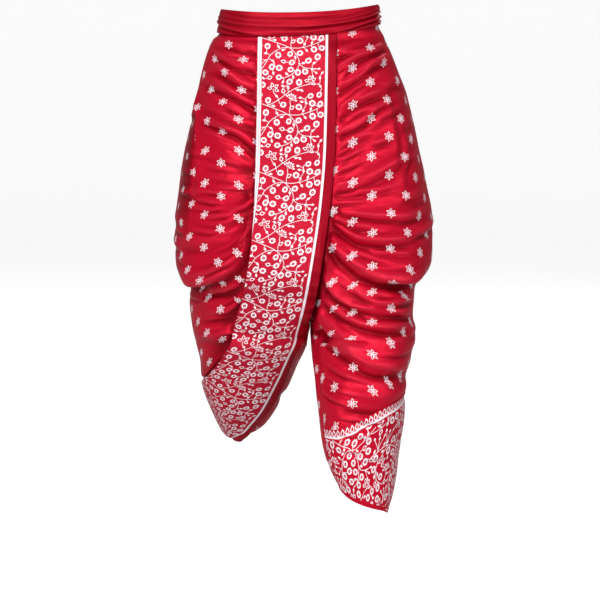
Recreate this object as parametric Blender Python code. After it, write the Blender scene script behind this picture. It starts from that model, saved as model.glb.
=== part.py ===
"""Dhoti pants as worn: draped legs, wrapped front panel, hem border and waistband.

The origin is the centre of the waist opening at mid height of the band. +Z is up
and the front faces -Y. The wearer's left leg is +X and strides forward.
All sizes are metres.
"""

import bpy
import numpy as np

# ---------------------------------------------------------------- driving sizes
LEG_WALL = 0.0018
PANEL_WALL = 0.0016
BAND_WALL = 0.0026
BORDER_WALL = 0.0012
BORDER_LIFT = 0.0016
SEAM_GAP = 0.0006
PIECE_GAP = 0.0004
SQUARENESS = 2.3
SEAM_REACH = 0.30
CROTCH_BOTTOM = -0.70
CROTCH_FADE = 0.10
TUCK = 0.010
TUCK_RINGS = (0.0095, 0.019)
WAIST_OVAL = (0.158, 0.109)
FOLD_STATIONS = 5
PLAIN_TOP = -0.035
PLAIN_FADE = 0.030
COVER_FADE = 0.035
PANEL_WIDTH = 0.133
PANEL_TOP_GAP = 0.0016
PANEL_LIFT = 0.0040
EDGE_LIFT = 0.0020
EDGE_LIFT_REACH = 0.12
PANEL_TURN_TOP = -0.585
PANEL_TURN_FADE = 0.055
HIP_SAMPLES = 61
HIP_LEVELS = 70
HIP_HEIGHTS = (-0.66, -0.02)
HIP_PLACES = (-0.17, 0.09)
HIP_SHARES = (0.0, 0.46)
HIP_STATIONS = 140
HIP_MARGINS = (0.020, 0.012)
FREE_PLACE = 1.0
PROBE = 0.004
PANEL_PROBE = 0.03
HOLLOW_DEPTH = 0.55
HOLLOW_DROP = 2.1
HOLLOW_SPREAD = 1.1
BAND_LEVEL = -0.015
BAND_FOLD_SPREAD = 0.13
BORDER_HEM_DROP = 0.001
SHARP_ANGLE = 50.0

LEG_COLUMNS = 32
LEG_RINGS = 41
LEG_LEVELS = 140
PANEL_COLUMNS = 7
EDGING_COLUMNS = 2
PANEL_RINGS = 41
BAND_COLUMNS = 56
BAND_RINGS = 6
BORDER_RINGS = 6
SECTION_STEPS = 160
DENSITY_STEPS = 200
LEG_DROP = 0.80
RING_DENSITY = ((0.0, 1.0), (0.30, 1.0), (0.42, 1.9), (0.66, 1.9), (0.80, 1.0), (1.0, 1.0))

# Each row of a leg: height, outer reach, inner reach past the centre is negative,
# front depth and back depth of its oval section.
RIGHT_ROWS = (
    # z,     outer,  inner,   front,   back
    (-0.854, 0.139, 0.084, 0.100, 0.194),
    (-0.830, 0.154, 0.078, 0.074, 0.198),
    (-0.808, 0.1640, 0.064, 0.052, 0.200),
    (-0.788, 0.1725, 0.0515, 0.034, 0.201),
    (-0.768, 0.1800, 0.0420, 0.016, 0.201),
    (-0.752, 0.1845, 0.0385, 0.002, 0.201),
    (-0.733, 0.1885, 0.0245, -0.013, 0.200),
    (-0.710, 0.1930, 0.0145, -0.028, 0.199),
    (-0.678, 0.1985, 0.003, -0.049, 0.195),
    (-0.635, 0.2085, -0.0125, -0.072, 0.190),
    (-0.592, 0.216, -0.0195, -0.090, 0.186),
    (-0.550, 0.219, -0.030, -0.106, 0.184),
    (-0.526, 0.2165, -0.040, -0.114, 0.186),
    (-0.516, 0.2170, -0.044, -0.121, 0.190),
    (-0.508, 0.2215, -0.0475, -0.127, 0.192),
    (-0.499, 0.2290, -0.051, -0.133, 0.194),
    (-0.487, 0.2385, -0.0565, -0.139, 0.195),
    (-0.473, 0.2440, -0.063, -0.143, 0.194),
    (-0.448, 0.2460, -0.074, -0.148, 0.190),
    (-0.408, 0.2450, -0.090, -0.152, 0.184),
    (-0.368, 0.2405, -0.104, -0.154, 0.178),
    (-0.328, 0.2350, -0.116, -0.154, 0.172),
    (-0.288, 0.230, -0.127, -0.152, 0.166),
    (-0.249, 0.223, -0.136, -0.149, 0.159),
    (-0.210, 0.214, -0.144, -0.145, 0.151),
    (-0.172, 0.206, -0.151, -0.140, 0.143),
    (-0.133, 0.198, -0.157, -0.134, 0.134),
    (-0.094, 0.189, -0.161, -0.127, 0.125),
    (-0.056, 0.177, -0.164, -0.1165, 0.1165),
    (-0.036, 0.168, -0.164, -0.1075, 0.1110),
    (-0.0265, 0.1570, -0.160, -0.1055, 0.1075),
    (-0.019, 0.1550, -0.157, -0.1050, 0.1045),
    (0.030, 0.150, -0.152, -0.1030, 0.101),
)
LEFT_ROWS = (
    # z,     outer,  inner,   front,   back
    (-0.924, 0.166, 0.092, -0.226, -0.118),
    (-0.903, 0.172, 0.082, -0.229, -0.108),
    (-0.885, 0.1765, 0.074, -0.231, -0.098),
    (-0.866, 0.180, 0.066, -0.232, -0.088),
    (-0.848, 0.183, 0.058, -0.233, -0.078),
    (-0.829, 0.185, 0.051, -0.233, -0.068),
    (-0.792, 0.1905, 0.042, -0.232, -0.046),
    (-0.755, 0.1972, 0.037, -0.230, -0.023),
    (-0.718, 0.2000, 0.032, -0.228, 0.000),
    (-0.700, 0.2010, 0.030, -0.227, 0.011),
    (-0.680, 0.1975, 0.028, -0.226, 0.022),
    (-0.643, 0.2115, 0.0225, -0.223, 0.043),
    (-0.625, 0.2150, 0.0210, -0.2215, 0.052),
    (-0.606, 0.2215, 0.0195, -0.220, 0.062),
    (-0.587, 0.2225, 0.015, -0.218, 0.071),
    (-0.568, 0.2165, 0.010, -0.215, 0.080),
    (-0.531, 0.2195, -0.002, -0.210, 0.096),
    (-0.512, 0.2210, -0.009, -0.208, 0.106),
    (-0.501, 0.224, -0.014, -0.209, 0.114),
    (-0.489, 0.236, -0.019, -0.210, 0.122),
    (-0.474, 0.2485, -0.025, -0.210, 0.129),
    (-0.456, 0.2550, -0.034, -0.207, 0.133),
    (-0.437, 0.2565, -0.044, -0.203, 0.136),
    (-0.399, 0.2565, -0.065, -0.193, 0.140),
    (-0.362, 0.2525, -0.083, -0.183, 0.143),
    (-0.324, 0.2445, -0.099, -0.174, 0.144),
    (-0.286, 0.237, -0.113, -0.166, 0.143),
    (-0.248, 0.228, -0.125, -0.158, 0.141),
    (-0.209, 0.220, -0.136, -0.151, 0.138),
    (-0.171, 0.211, -0.146, -0.144, 0.133),
    (-0.133, 0.201, -0.154, -0.136, 0.128),
    (-0.094, 0.188, -0.160, -0.128, 0.122),
    (-0.056, 0.173, -0.164, -0.1165, 0.1155),
    (-0.036, 0.164, -0.164, -0.1075, 0.1105),
    (-0.0265, 0.1600, -0.160, -0.1055, 0.1075),
    (-0.019, 0.1550, -0.157, -0.1050, 0.1045),
    (-0.012, 0.1515, -0.156, -0.1045, 0.1040),
    (0.030, 0.148, -0.152, -0.1030, 0.101),
)
# Height and sideways place of the seam between the legs.
SEAM_ROWS = ((-0.95, 0.0195), (-0.60, 0.0195), (-0.40, 0.010), (-0.22, 0.0), (0.05, 0.0))

# Oval the front panel lies on once it is round the right calf.
PANEL_ROWS = (
    # z,     outer,  inner,   front,   back
    (-0.870, 0.138, 0.074, 0.092, 0.202),
    (-0.854, 0.1465, 0.072, 0.086, 0.203),
    (-0.830, 0.1625, 0.058, 0.064, 0.207),
    (-0.786, 0.1800, 0.032, 0.022, 0.209),
    (-0.742, 0.1940, 0.006, -0.015, 0.208),
    (-0.700, 0.203, -0.020, -0.044, 0.203),
    (-0.656, 0.213, -0.047, -0.075, 0.198),
    (-0.600, 0.222, -0.084, -0.113, 0.192),
    (-0.560, 0.225, -0.105, -0.128, 0.186),
)
# Height, then the sideways places of the panel's left edge, of its seam with the edging
# and of the edging's right edge; below the turn round the calf they are angles instead.
PANEL_EDGES = (
    # z,     left,    seam,   right
    (-0.029, -0.079, 0.0535, 0.0695),
    (-0.148, -0.080, 0.0515, 0.0675),
    (-0.241, -0.082, 0.0490, 0.0650),
    (-0.334, -0.085, 0.0415, 0.0575),
    (-0.430, -0.093, 0.0280, 0.0445),
    (-0.530, -0.112, 0.0110, 0.0285),
    (-0.560, -0.120, 0.0045, 0.0215),
    (-0.596, -0.130, -0.0050, 0.0110),
)
PANEL_TURNS = (
    # z,     left,   seam,   right   degrees on the oval, 0 outer side, minus to the front
    (-0.596, -70.5, -110.9, -116.7),
    (-0.640, -64.0, -112.9, -118.4),
    (-0.690, -42.0, -113.5, -121.9),
    (-0.715, -17.0, -112.9, -123.0),
    (-0.745, 8.0, -111.3, -122.9),
    (-0.770, 31.0, -107.6, -119.7),
    (-0.790, 50.0, -101.7, -114.1),
    (-0.810, 72.0, -94.3, -105.8),
    (-0.825, 88.0, -87.5, -99.0),
    (-0.840, 102.0, -58.0, -88.5),
    (-0.850, 111.0, -40.0, -76.0),
)
# Foot of the panel: 0 left edge, 1 seam with the edging, 2 right edge of the edging.
PANEL_FOOT = ((0.0, -0.812), (0.45, -0.832), (1.0, -0.842), (1.5, -0.8465), (2.0, -0.848))

# Share round each leg at which the panel's edge covers it; folds start from here.
RIGHT_COVER = (
    (-0.85, 0.88),
    (-0.80, 0.75),
    (-0.76, 0.60),
    (-0.711, 0.445),
    (-0.681, 0.364),
    (-0.633, 0.311),
    (-0.589, 0.276),
    (-0.526, 0.207),
    (-0.426, 0.147),
    (-0.333, 0.132),
    (-0.240, 0.133),
    (-0.148, 0.145),
    (-0.030, 0.176),
)
LEFT_COVER = (
    (-0.95, -0.05),
    (-0.62, -0.04),
    (-0.55, 0.020),
    (-0.49, 0.045),
    (-0.43, 0.062),
    (-0.37, 0.077),
    (-0.306, 0.092),
    (-0.240, 0.113),
    (-0.170, 0.123),
    (-0.090, 0.139),
    (-0.030, 0.158),
)

# Lower edges, by share of the way round from the front seam to the back seam.
RIGHT_HEM = (
    (0.0, -0.784),
    (0.05, -0.800),
    (0.10, -0.815),
    (0.28, -0.832),
    (0.5, -0.822),
    (0.75, -0.796),
    (0.92, -0.785),
    (1.0, -0.784),
)
LEFT_HEM = (
    (0.0, -0.830),
    (0.05, -0.855),
    (0.10, -0.877),
    (0.20, -0.896),
    (0.33, -0.911),
    (0.45, -0.923),
    (0.58, -0.912),
    (0.80, -0.868),
    (1.0, -0.830),
)
# The border's bold line; the cloth reaches above it by the row of leaves on the line.
BORDER_LINE = (
    (0.0, -0.778),
    (0.137, -0.774),
    (0.173, -0.771),
    (0.215, -0.760),
    (0.272, -0.743),
    (0.342, -0.726),
    (0.471, -0.716),
    (0.60, -0.722),
    (0.80, -0.752),
    (1.0, -0.778),
)
BORDER_LEAVES = 0.014
BORDER_FIRST_COLUMN = 3
BORDER_END = 0.994

# Folds. A row runs from one share round the leg to another, its crest at five even
# stations; then crest height, spread above, spread below and start and end fades.
RIGHT_FOLDS = (
    # from, to,   z0,     z1,     z2,     z3,     z4,    height, above, below, fade in, fade out
    (0.10, 0.44, -0.094, -0.078, -0.062, -0.050, -0.043, 0.0050, 0.010, 0.007, 0.05, 0.12),
    (0.10, 0.36, -0.176, -0.158, -0.149, -0.142, -0.138, 0.0050, 0.014, 0.010, 0.05, 0.10),
    (0.10, 0.40, -0.244, -0.224, -0.212, -0.203, -0.196, 0.0060, 0.018, 0.012, 0.05, 0.14),
    (0.10, 0.46, -0.318, -0.346, -0.362, -0.372, -0.366, 0.0070, 0.022, 0.014, 0.05, 0.12),
    (0.12, 0.46, -0.380, -0.454, -0.482, -0.496, -0.500, 0.0110, 0.034, 0.011, 0.06, 0.13),
    (0.48, 0.92, -0.500, -0.488, -0.464, -0.430, -0.398, 0.0095, 0.030, 0.011, 0.12, 0.10),
    (0.14, 0.40, -0.466, -0.520, -0.545, -0.556, -0.560, 0.0055, 0.018, 0.011, 0.06, 0.10),
    (0.16, 0.44, -0.560, -0.596, -0.614, -0.622, -0.626, 0.0045, 0.024, 0.016, 0.08, 0.14),
    (0.54, 0.90, -0.556, -0.560, -0.552, -0.530, -0.500, 0.0060, 0.022, 0.012, 0.12, 0.10),
    (0.56, 0.95, -0.140, -0.156, -0.168, -0.182, -0.200, 0.0055, 0.016, 0.011, 0.12, 0.05),
    (0.54, 0.95, -0.232, -0.252, -0.262, -0.276, -0.296, 0.0065, 0.020, 0.013, 0.12, 0.05),
    (0.50, 0.95, -0.338, -0.372, -0.380, -0.366, -0.350, 0.0075, 0.024, 0.014, 0.12, 0.05),
)
LEFT_FOLDS = (
    (0.10, 0.42, -0.118, -0.094, -0.074, -0.060, -0.048, 0.0055, 0.011, 0.008, 0.05, 0.10),
    (0.09, 0.36, -0.218, -0.196, -0.180, -0.168, -0.160, 0.0055, 0.015, 0.010, 0.05, 0.12),
    (0.07, 0.42, -0.302, -0.302, -0.292, -0.276, -0.262, 0.0060, 0.018, 0.012, 0.05, 0.14),
    (0.06, 0.46, -0.350, -0.395, -0.407, -0.404, -0.392, 0.0070, 0.020, 0.012, 0.05, 0.14),
    (0.05, 0.45, -0.386, -0.456, -0.476, -0.476, -0.472, 0.0115, 0.028, 0.011, 0.05, 0.13),
    (0.48, 0.93, -0.472, -0.466, -0.450, -0.420, -0.392, 0.0095, 0.026, 0.011, 0.12, 0.10),
    (0.06, 0.40, -0.470, -0.523, -0.535, -0.540, -0.552, 0.0090, 0.016, 0.010, 0.05, 0.08),
    (0.52, 0.92, -0.552, -0.544, -0.526, -0.498, -0.468, 0.0070, 0.018, 0.010, 0.12, 0.10),
    (0.07, 0.40, -0.508, -0.548, -0.564, -0.568, -0.570, 0.0060, 0.013, 0.009, 0.05, 0.10),
    (0.06, 0.42, -0.546, -0.593, -0.624, -0.641, -0.645, 0.0080, 0.022, 0.012, 0.06, 0.12),
    (0.52, 0.88, -0.632, -0.616, -0.594, -0.570, -0.545, 0.0060, 0.022, 0.012, 0.12, 0.12),
    (0.18, 0.80, -0.690, -0.697, -0.692, -0.680, -0.660, 0.0035, 0.024, 0.016, 0.12, 0.12),
    (0.56, 0.95, -0.130, -0.148, -0.162, -0.178, -0.198, 0.0055, 0.016, 0.011, 0.12, 0.05),
    (0.54, 0.95, -0.228, -0.246, -0.258, -0.274, -0.296, 0.0065, 0.020, 0.013, 0.12, 0.05),
    (0.52, 0.95, -0.318, -0.344, -0.354, -0.350, -0.344, 0.0070, 0.022, 0.013, 0.12, 0.05),
)

# Rim and foot heights of the band: middle, tilt to the left, tilt to the back, sides up.
BAND_RIM = (0.0155, 0.0045, 0.0005, 0.0110)
BAND_FOOT = (-0.0220, 0.0080, 0.0060, 0.0080)
BAND_OVAL = (
    # share up, right reach, left reach, front, back
    (0.0, 0.1605, 0.1560, -0.1120, 0.1095),
    (0.5, 0.1570, 0.1535, -0.1105, 0.1080),
    (1.0, 0.1520, 0.1505, -0.1080, 0.1060),
)
# Shirred folds of the band: centre angle, half span, share up at its two ends, height.
BAND_FOLDS = (
    (-130.0, 38.0, 0.75, 0.30, 0.0012),
    (-105.0, 40.0, 0.35, 0.20, 0.0010),
    (-50.0, 46.0, 0.25, 0.72, 0.0014),
    (-35.0, 34.0, 0.05, 0.42, 0.0011),
    (60.0, 60.0, 0.70, 0.35, 0.0013),
    (125.0, 55.0, 0.35, 0.68, 0.0012),
)

CLOTH_RED = (0.60, 0.010, 0.036, 1.0)
PANEL_RED = (0.64, 0.025, 0.065, 1.0)
BAND_RED = (0.43, 0.004, 0.018, 1.0)
EDGE_RED = (0.50, 0.006, 0.024, 1.0)


# ---------------------------------------------------------------- shared formulas
def through(rows, at):
    """Reads a table's columns at `at`, on curves that never overshoot its rows."""
    rows = np.asarray(rows, float)
    if rows[0, 0] > rows[-1, 0]:
        rows = rows[::-1]
    x, y = rows[:, 0], rows[:, 1:]
    step = np.diff(x)[:, None]
    slope = np.diff(y, axis=0) / step
    same = slope[:-1] * slope[1:] > 0
    before, after = np.where(same, slope[:-1], 1), np.where(same, slope[1:], 1)
    w1, w2 = 2 * step[1:] + step[:-1], step[1:] + 2 * step[:-1]
    middle = np.where(same, (w1 + w2) / (w1 / before + w2 / after), 0)
    tangent = np.concatenate([slope[:1], middle, slope[-1:]])
    at = np.clip(np.asarray(at, float), x[0], x[-1])
    k = np.clip(np.searchsorted(x, at, side="right") - 1, 0, len(x) - 2)
    h = step[k, 0]
    t = ((at - x[k]) / h)[..., None]
    h = h[..., None]
    return (
        (1 + 2 * t) * (1 - t) ** 2 * y[k]
        + t * (1 - t) ** 2 * h * tangent[k]
        + t * t * (3 - 2 * t) * y[k + 1]
        + t * t * (t - 1) * h * tangent[k + 1]
    )


def ease(x):
    x = np.clip(x, 0, 1)
    return x * x * (3 - 2 * x)


def oval_point(turn, rows, z):
    """Point at angle `turn` on the oval of `rows` at height z, outer side positive."""
    outer, inner, front, back = np.moveaxis(through(rows, z), -1, 0)
    c, s = np.cos(turn), np.sin(turn)
    power = 2 / SQUARENESS
    wide = (outer + inner) / 2 + (outer - inner) / 2 * np.sign(c) * np.abs(c) ** power
    deep = (front + back) / 2 + (back - front) / 2 * np.sign(s) * np.abs(s) ** power
    return wide, deep


class Leg:
    """A leg's smooth form, reached by share round it and height."""

    def __init__(self, side, rows, hem, folds, cover):
        self.side, self.rows, self.hem, self.folds, self.cover = side, rows, hem, folds, cover
        self.levels = np.linspace(rows[0][0], rows[-1][0], LEG_LEVELS)
        turn = np.linspace(-1, 1, SECTION_STEPS + 1)
        cut = self.cut(self.levels)
        wide, deep = oval_point(cut[:, None] * turn, rows, self.levels[:, None])
        run = np.hypot(np.diff(wide, axis=1), np.diff(deep, axis=1)).cumsum(axis=1)
        run = np.concatenate([np.zeros((len(run), 1)), run], axis=1)
        even = np.linspace(0, 1, SECTION_STEPS + 1)
        self.turns = np.stack([np.interp(even, r / r[-1], turn) for r in run])

    def cut(self, z):
        """Angle at which the oval meets the seam plane; a half turn once it is closed."""
        outer, inner = np.moveaxis(through(self.rows, z)[..., :2], -1, 0)
        seam = self.side * through(SEAM_ROWS, z)[..., 0] + SEAM_GAP / 2
        share = np.clip(((outer + inner) / 2 - seam) / ((outer - inner) / 2), -0.99999, 0.99999)
        return np.arccos(-np.sign(share) * np.abs(share) ** (SQUARENESS / 2))

    def turn(self, s, z):
        i = np.interp(z, self.levels, np.arange(len(self.levels)))
        j = np.clip(s, 0, 1) * SECTION_STEPS
        i0 = np.minimum(i.astype(int), len(self.levels) - 2)
        j0 = np.minimum(j.astype(int), SECTION_STEPS - 1)
        fi, fj, t = i - i0, j - j0, self.turns
        low = (1 - fj) * t[i0, j0] + fj * t[i0, j0 + 1]
        high = (1 - fj) * t[i0 + 1, j0] + fj * t[i0 + 1, j0 + 1]
        return (1 - fi) * low + fi * high

    def ends(self, z):
        cut = self.cut(z)
        return [oval_point(k * cut, self.rows, z)[1] for k in (-1, 1)]


LEGS = {}


def leg(name):
    if not LEGS:
        LEGS["right"] = Leg(-1, RIGHT_ROWS, RIGHT_HEM, RIGHT_FOLDS, RIGHT_COVER)
        LEGS["left"] = Leg(1, LEFT_ROWS, LEFT_HEM, LEFT_FOLDS, LEFT_COVER)
    return LEGS[name]


def smooth_leg(one, s, z):
    """Leg form with no folds; front and back seam depths are shared above the crotch."""
    s, z = np.broadcast_arrays(np.asarray(s, float), np.asarray(z, float))
    wide, deep = oval_point(one.cut(z) * one.turn(s, z), one.rows, z)
    both = [leg(name).ends(z) for name in ("right", "left")]
    mine = one.ends(z)
    open_share = ease((z - CROTCH_BOTTOM) / CROTCH_FADE)
    for k, near in ((0, s), (1, 1 - s)):
        shared = (both[0][k] + both[1][k]) / 2
        deep = deep + (shared - mine[k]) * ease(1 - near / SEAM_REACH) * open_share
    return np.stack([one.side * wide, deep, z], axis=-1)


def out_of_leg(one, s, z):
    """Unit outward direction of the smooth leg."""
    s, z = np.broadcast_arrays(np.asarray(s, float), np.asarray(z, float))
    after, before = np.clip(s + PROBE, 0, 1), np.clip(s - PROBE, 0, 1)
    across = smooth_leg(one, after, z) - smooth_leg(one, before, z)
    up = smooth_leg(one, s, z + PROBE) - smooth_leg(one, s, z - PROBE)
    n = np.cross(across, up) * one.side
    return n / np.linalg.norm(n, axis=-1, keepdims=True)


def folds_height(one, s, z):
    """Sum of the fold ridges, each wide above its crest, steep below, with a hollow under."""
    total = np.zeros(np.broadcast(s, z).shape)
    for row in one.folds:
        begin, end, *crest, height, above, below, fade_in, fade_out = row
        stations = np.column_stack([np.linspace(begin, end, FOLD_STATIONS), crest])
        d = z - through(stations, s)[..., 0]
        fade = ease((s - begin) / fade_in) * ease((end - s) / fade_out)
        ridge = np.exp(-np.square(d / np.where(d > 0, above, below)))
        hollow = np.exp(-np.square((d + HOLLOW_DROP * below) / (HOLLOW_SPREAD * below)))
        total = total + height * fade * (ridge - HOLLOW_DEPTH * hollow)
    return total * ease((s - through(one.cover, z)[..., 0]) / COVER_FADE)


def band_height(angle, columns):
    middle, tilt, back, sides = columns
    return middle + tilt * np.cos(angle) + back * np.sin(angle) + sides * np.cos(angle) ** 2


def band_angle(points):
    """Angle on the band's oval at which a point stands."""
    x, y = points[..., 0] / WAIST_OVAL[0], points[..., 1] / WAIST_OVAL[1]
    power = SQUARENESS / 2
    return np.arctan2(np.sign(y) * np.abs(y) ** power, np.sign(x) * np.abs(x) ** power)


def leg_height(one, s, v):
    """Height at share v of the way from the tucked top down to the hem."""
    angle = band_angle(smooth_leg(one, s, np.full(np.shape(s), BAND_LEVEL)))
    top = band_height(angle, BAND_FOOT) + TUCK
    return top + (through(one.hem, s)[..., 0] - top) * v


def leg_point(one, s, z, lift=0.0):
    """Leg surface with folds, moved out by `lift`."""
    still = ease((PLAIN_TOP - z) / PLAIN_FADE)
    height = folds_height(one, s, z) * still + lift
    return smooth_leg(one, s, z) + height[..., None] * out_of_leg(one, s, z)


# ---------------------------------------------------------------- mesh building
def shell(name, outer, inner, material, around=False):
    """Closed sheet between two grids of points; `around` joins the last column to the first."""
    rows, cols = outer.shape[:2]
    points = np.concatenate([outer.reshape(-1, 3), inner.reshape(-1, 3)])
    step = rows * cols
    across = cols if around else cols - 1
    faces = []
    for i in range(rows - 1):
        for j in range(across):
            k = (j + 1) % cols
            a, b, c, d = i * cols + j, i * cols + k, (i + 1) * cols + k, (i + 1) * cols + j
            faces += [(a, b, c), (a, c, d), (step + a, step + c, step + b), (step + a, step + d, step + c)]
    rim = []
    for j in range(across):
        k = (j + 1) % cols
        rim += [(k, j), ((rows - 1) * cols + j, (rows - 1) * cols + k)]
    if not around:
        for i in range(rows - 1):
            rim += [(i * cols, (i + 1) * cols), ((i + 2) * cols - 1, (i + 1) * cols - 1)]
    for a, b in rim:
        faces += [(a, b, step + b), (a, step + b, step + a)]
    faces = np.array(faces)
    p = points[faces]
    if np.einsum("ij,ij->i", p[:, 0], np.cross(p[:, 1], p[:, 2])).sum() < 0:
        faces = faces[:, ::-1]
    mesh = bpy.data.meshes.new(name)
    mesh.from_pydata(points.tolist(), [], faces.tolist())
    mesh.update()
    mesh.shade_smooth()
    mesh.set_sharp_from_angle(angle=np.radians(SHARP_ANGLE))
    mesh.materials.append(material)
    obj = bpy.data.objects.new(name, mesh)
    bpy.context.scene.collection.objects.link(obj)
    return obj


def cloth(name, colour, roughness, sheen):
    material = bpy.data.materials.new(name)
    material.use_nodes = True
    shader = material.node_tree.nodes["Principled BSDF"]
    shader.inputs["Base Color"].default_value = colour
    shader.inputs["Roughness"].default_value = roughness
    shader.inputs["Sheen Weight"].default_value = sheen
    return material


def make_leg(name, which, material):
    """Leg shell: rings crowd at the low rolls, and two more stand in the tuck."""
    one = leg(which)
    even = np.linspace(0, 1, DENSITY_STEPS)
    crowd = through(RING_DENSITY, even)[:, 0].cumsum()
    down = np.interp(np.linspace(crowd[0], crowd[-1], LEG_RINGS - 2), crowd, even)
    first, second = np.array(TUCK_RINGS) / LEG_DROP
    down = np.concatenate([[0.0, first], second + (1 - second) * down])
    ss, vv = np.meshgrid(np.linspace(0, 1, LEG_COLUMNS + 1), down)
    zz = leg_height(one, ss, vv)
    outer = leg_point(one, ss, zz)
    normal = out_of_leg(one, ss, zz)
    return shell(name, outer, outer - LEG_WALL * normal, material)


def make_border(name, material):
    one = leg("left")
    shares = np.linspace(0, 1, LEG_COLUMNS + 1)[BORDER_FIRST_COLUMN:]
    shares[-1] = BORDER_END
    ss, vv = np.meshgrid(shares, np.linspace(0, 1, BORDER_RINGS))
    top = through(BORDER_LINE, ss)[..., 0] + BORDER_LEAVES
    zz = top + (through(LEFT_HEM, ss)[..., 0] - BORDER_HEM_DROP - top) * vv
    lift = BORDER_LIFT + BORDER_WALL
    return shell(
        name,
        leg_point(one, ss, zz, lift),
        leg_point(one, ss, zz, BORDER_LIFT),
        material,
    )


HIP = {}


def hip_skin():
    """Taut front over both thighs: the smooth legs moved out, bridged where they fall back.

    Gives heights, sideways places and a table of depths.
    """
    if HIP:
        return HIP["z"], HIP["x"], HIP["y"]
    z = np.linspace(*HIP_HEIGHTS, HIP_LEVELS)
    x = np.linspace(*HIP_PLACES, HIP_SAMPLES)
    s = np.linspace(*HIP_SHARES, HIP_STATIONS)
    skins = {}
    for name in ("right", "left"):
        one = leg(name)
        ss, zz = np.meshgrid(s, z)
        points = smooth_leg(one, ss, zz) + PANEL_LIFT * out_of_leg(one, ss, zz)
        order = points[:, :: one.side]
        skins[name] = np.stack([np.interp(x, row[:, 0], row[:, 1]) for row in order])
    seam = through(SEAM_ROWS, z)
    y = np.where(x[None, :] < seam, skins["right"], skins["left"])
    left, _, right = np.moveaxis(through(PANEL_EDGES, z), -1, 0)
    start, end = left - HIP_MARGINS[0], right + HIP_MARGINS[1]
    covered = (x[None, :] > start[:, None]) & (x[None, :] < end[:, None])
    taut = np.where(covered, y, FREE_PLACE)
    for j in range(HIP_SAMPLES):
        for k in range(j + 2, HIP_SAMPLES):
            share = ((x[j + 1 : k] - x[j]) / (x[k] - x[j]))[None, :]
            line = taut[:, j : j + 1] * (1 - share) + taut[:, k : k + 1] * share
            y[:, j + 1 : k] = np.minimum(y[:, j + 1 : k], line)
    HIP.update(z=z, x=x, y=y)
    return z, x, y


def read_table(rows, cols, table, at_row, at_col):
    i = np.interp(at_row, rows, np.arange(len(rows)))
    j = np.interp(at_col, cols, np.arange(len(cols)))
    i0, j0 = np.minimum(i.astype(int), len(rows) - 2), np.minimum(j.astype(int), len(cols) - 2)
    fi, fj = i - i0, j - j0
    low = (1 - fj) * table[i0, j0] + fj * table[i0, j0 + 1]
    high = (1 - fj) * table[i0 + 1, j0] + fj * table[i0 + 1, j0 + 1]
    return (1 - fi) * low + fi * high


def panel_place(rows, z, share):
    """Reads a place across the panel: 0 left edge, 1 seam, 2 right edge of the edging."""
    left, seam, right = np.moveaxis(through(rows, z), -1, 0)
    return np.where(share < 1, left + (seam - left) * share, seam + (right - seam) * (share - 1))


def panel_base(z, share):
    """Panel's outer face: taut over the hips above, round the calf's oval below."""
    x = panel_place(PANEL_EDGES, z, share)
    over_gathers = EDGE_LIFT * (1 - ease(share / EDGE_LIFT_REACH))
    hips = np.stack([x, read_table(*hip_skin(), z, x) - over_gathers, z], axis=-1)
    wide, deep = oval_point(np.radians(panel_place(PANEL_TURNS, z, share)), PANEL_ROWS, z)
    calf = np.stack([-wide, deep, z], axis=-1)
    blend = ease((PANEL_TURN_TOP - z) / PANEL_TURN_FADE)[..., None]
    return hips * (1 - blend) + calf * blend


def panel_point(z, share, lift):
    z, share = np.broadcast_arrays(np.asarray(z, float), np.asarray(share, float))
    across = panel_base(z, share + PANEL_PROBE) - panel_base(z, share - PANEL_PROBE)
    up = panel_base(z + PROBE, share) - panel_base(z - PROBE, share)
    n = np.cross(across, up)
    n /= np.linalg.norm(n, axis=-1, keepdims=True)
    return panel_base(z, share) + lift * n


def panel_grid(shares, rings):
    """Heights and places for the panel, from under the band to its slanting foot."""
    share, vv = np.meshgrid(shares, np.linspace(0, 1, rings))
    angle = band_angle(panel_base(np.full(share.shape, PANEL_EDGES[0][0]), share))
    top = band_height(angle, BAND_FOOT) - PANEL_TOP_GAP
    return top + (through(PANEL_FOOT, share)[..., 0] - top) * vv, share


def make_strip(name, shares, material):
    zz, share = panel_grid(shares, PANEL_RINGS)
    return shell(name, panel_point(zz, share, 0.0), panel_point(zz, share, -PANEL_WALL), material)


def make_band(name, material):
    angle = np.linspace(-np.pi, np.pi, BAND_COLUMNS + 1)[:-1]
    aa, uu = np.meshgrid(angle, np.linspace(1, 0, BAND_RINGS))
    right, left, front, back = np.moveaxis(through(BAND_OVAL, uu), -1, 0)
    c, s = np.cos(aa), np.sin(aa)
    power = 2 / SQUARENESS
    x = np.where(c > 0, left, right) * np.sign(c) * np.abs(c) ** power
    y = np.where(s > 0, back, -front) * np.sign(s) * np.abs(s) ** power
    foot, rim = band_height(aa, BAND_FOOT), band_height(aa, BAND_RIM)
    z = foot + (rim - foot) * uu
    outward = np.stack([c / WAIST_OVAL[0], s / WAIST_OVAL[1], 0 * c], axis=-1)
    outward /= np.linalg.norm(outward, axis=-1, keepdims=True)
    lift = np.zeros(aa.shape)
    for centre, half, low, high, height in BAND_FOLDS:
        d = (np.degrees(aa) - centre + 180) % 360 - 180
        along = np.clip(d / half, -1, 1)
        line = low + (high - low) * (along + 1) / 2
        ridge = np.exp(-np.square((uu - line) / BAND_FOLD_SPREAD))
        lift = lift + height * np.cos(along * np.pi / 2) * ridge
    points = np.stack([x, y, z], axis=-1)
    return shell(name, points + lift[..., None] * outward, points - BAND_WALL * outward, material, True)


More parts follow.
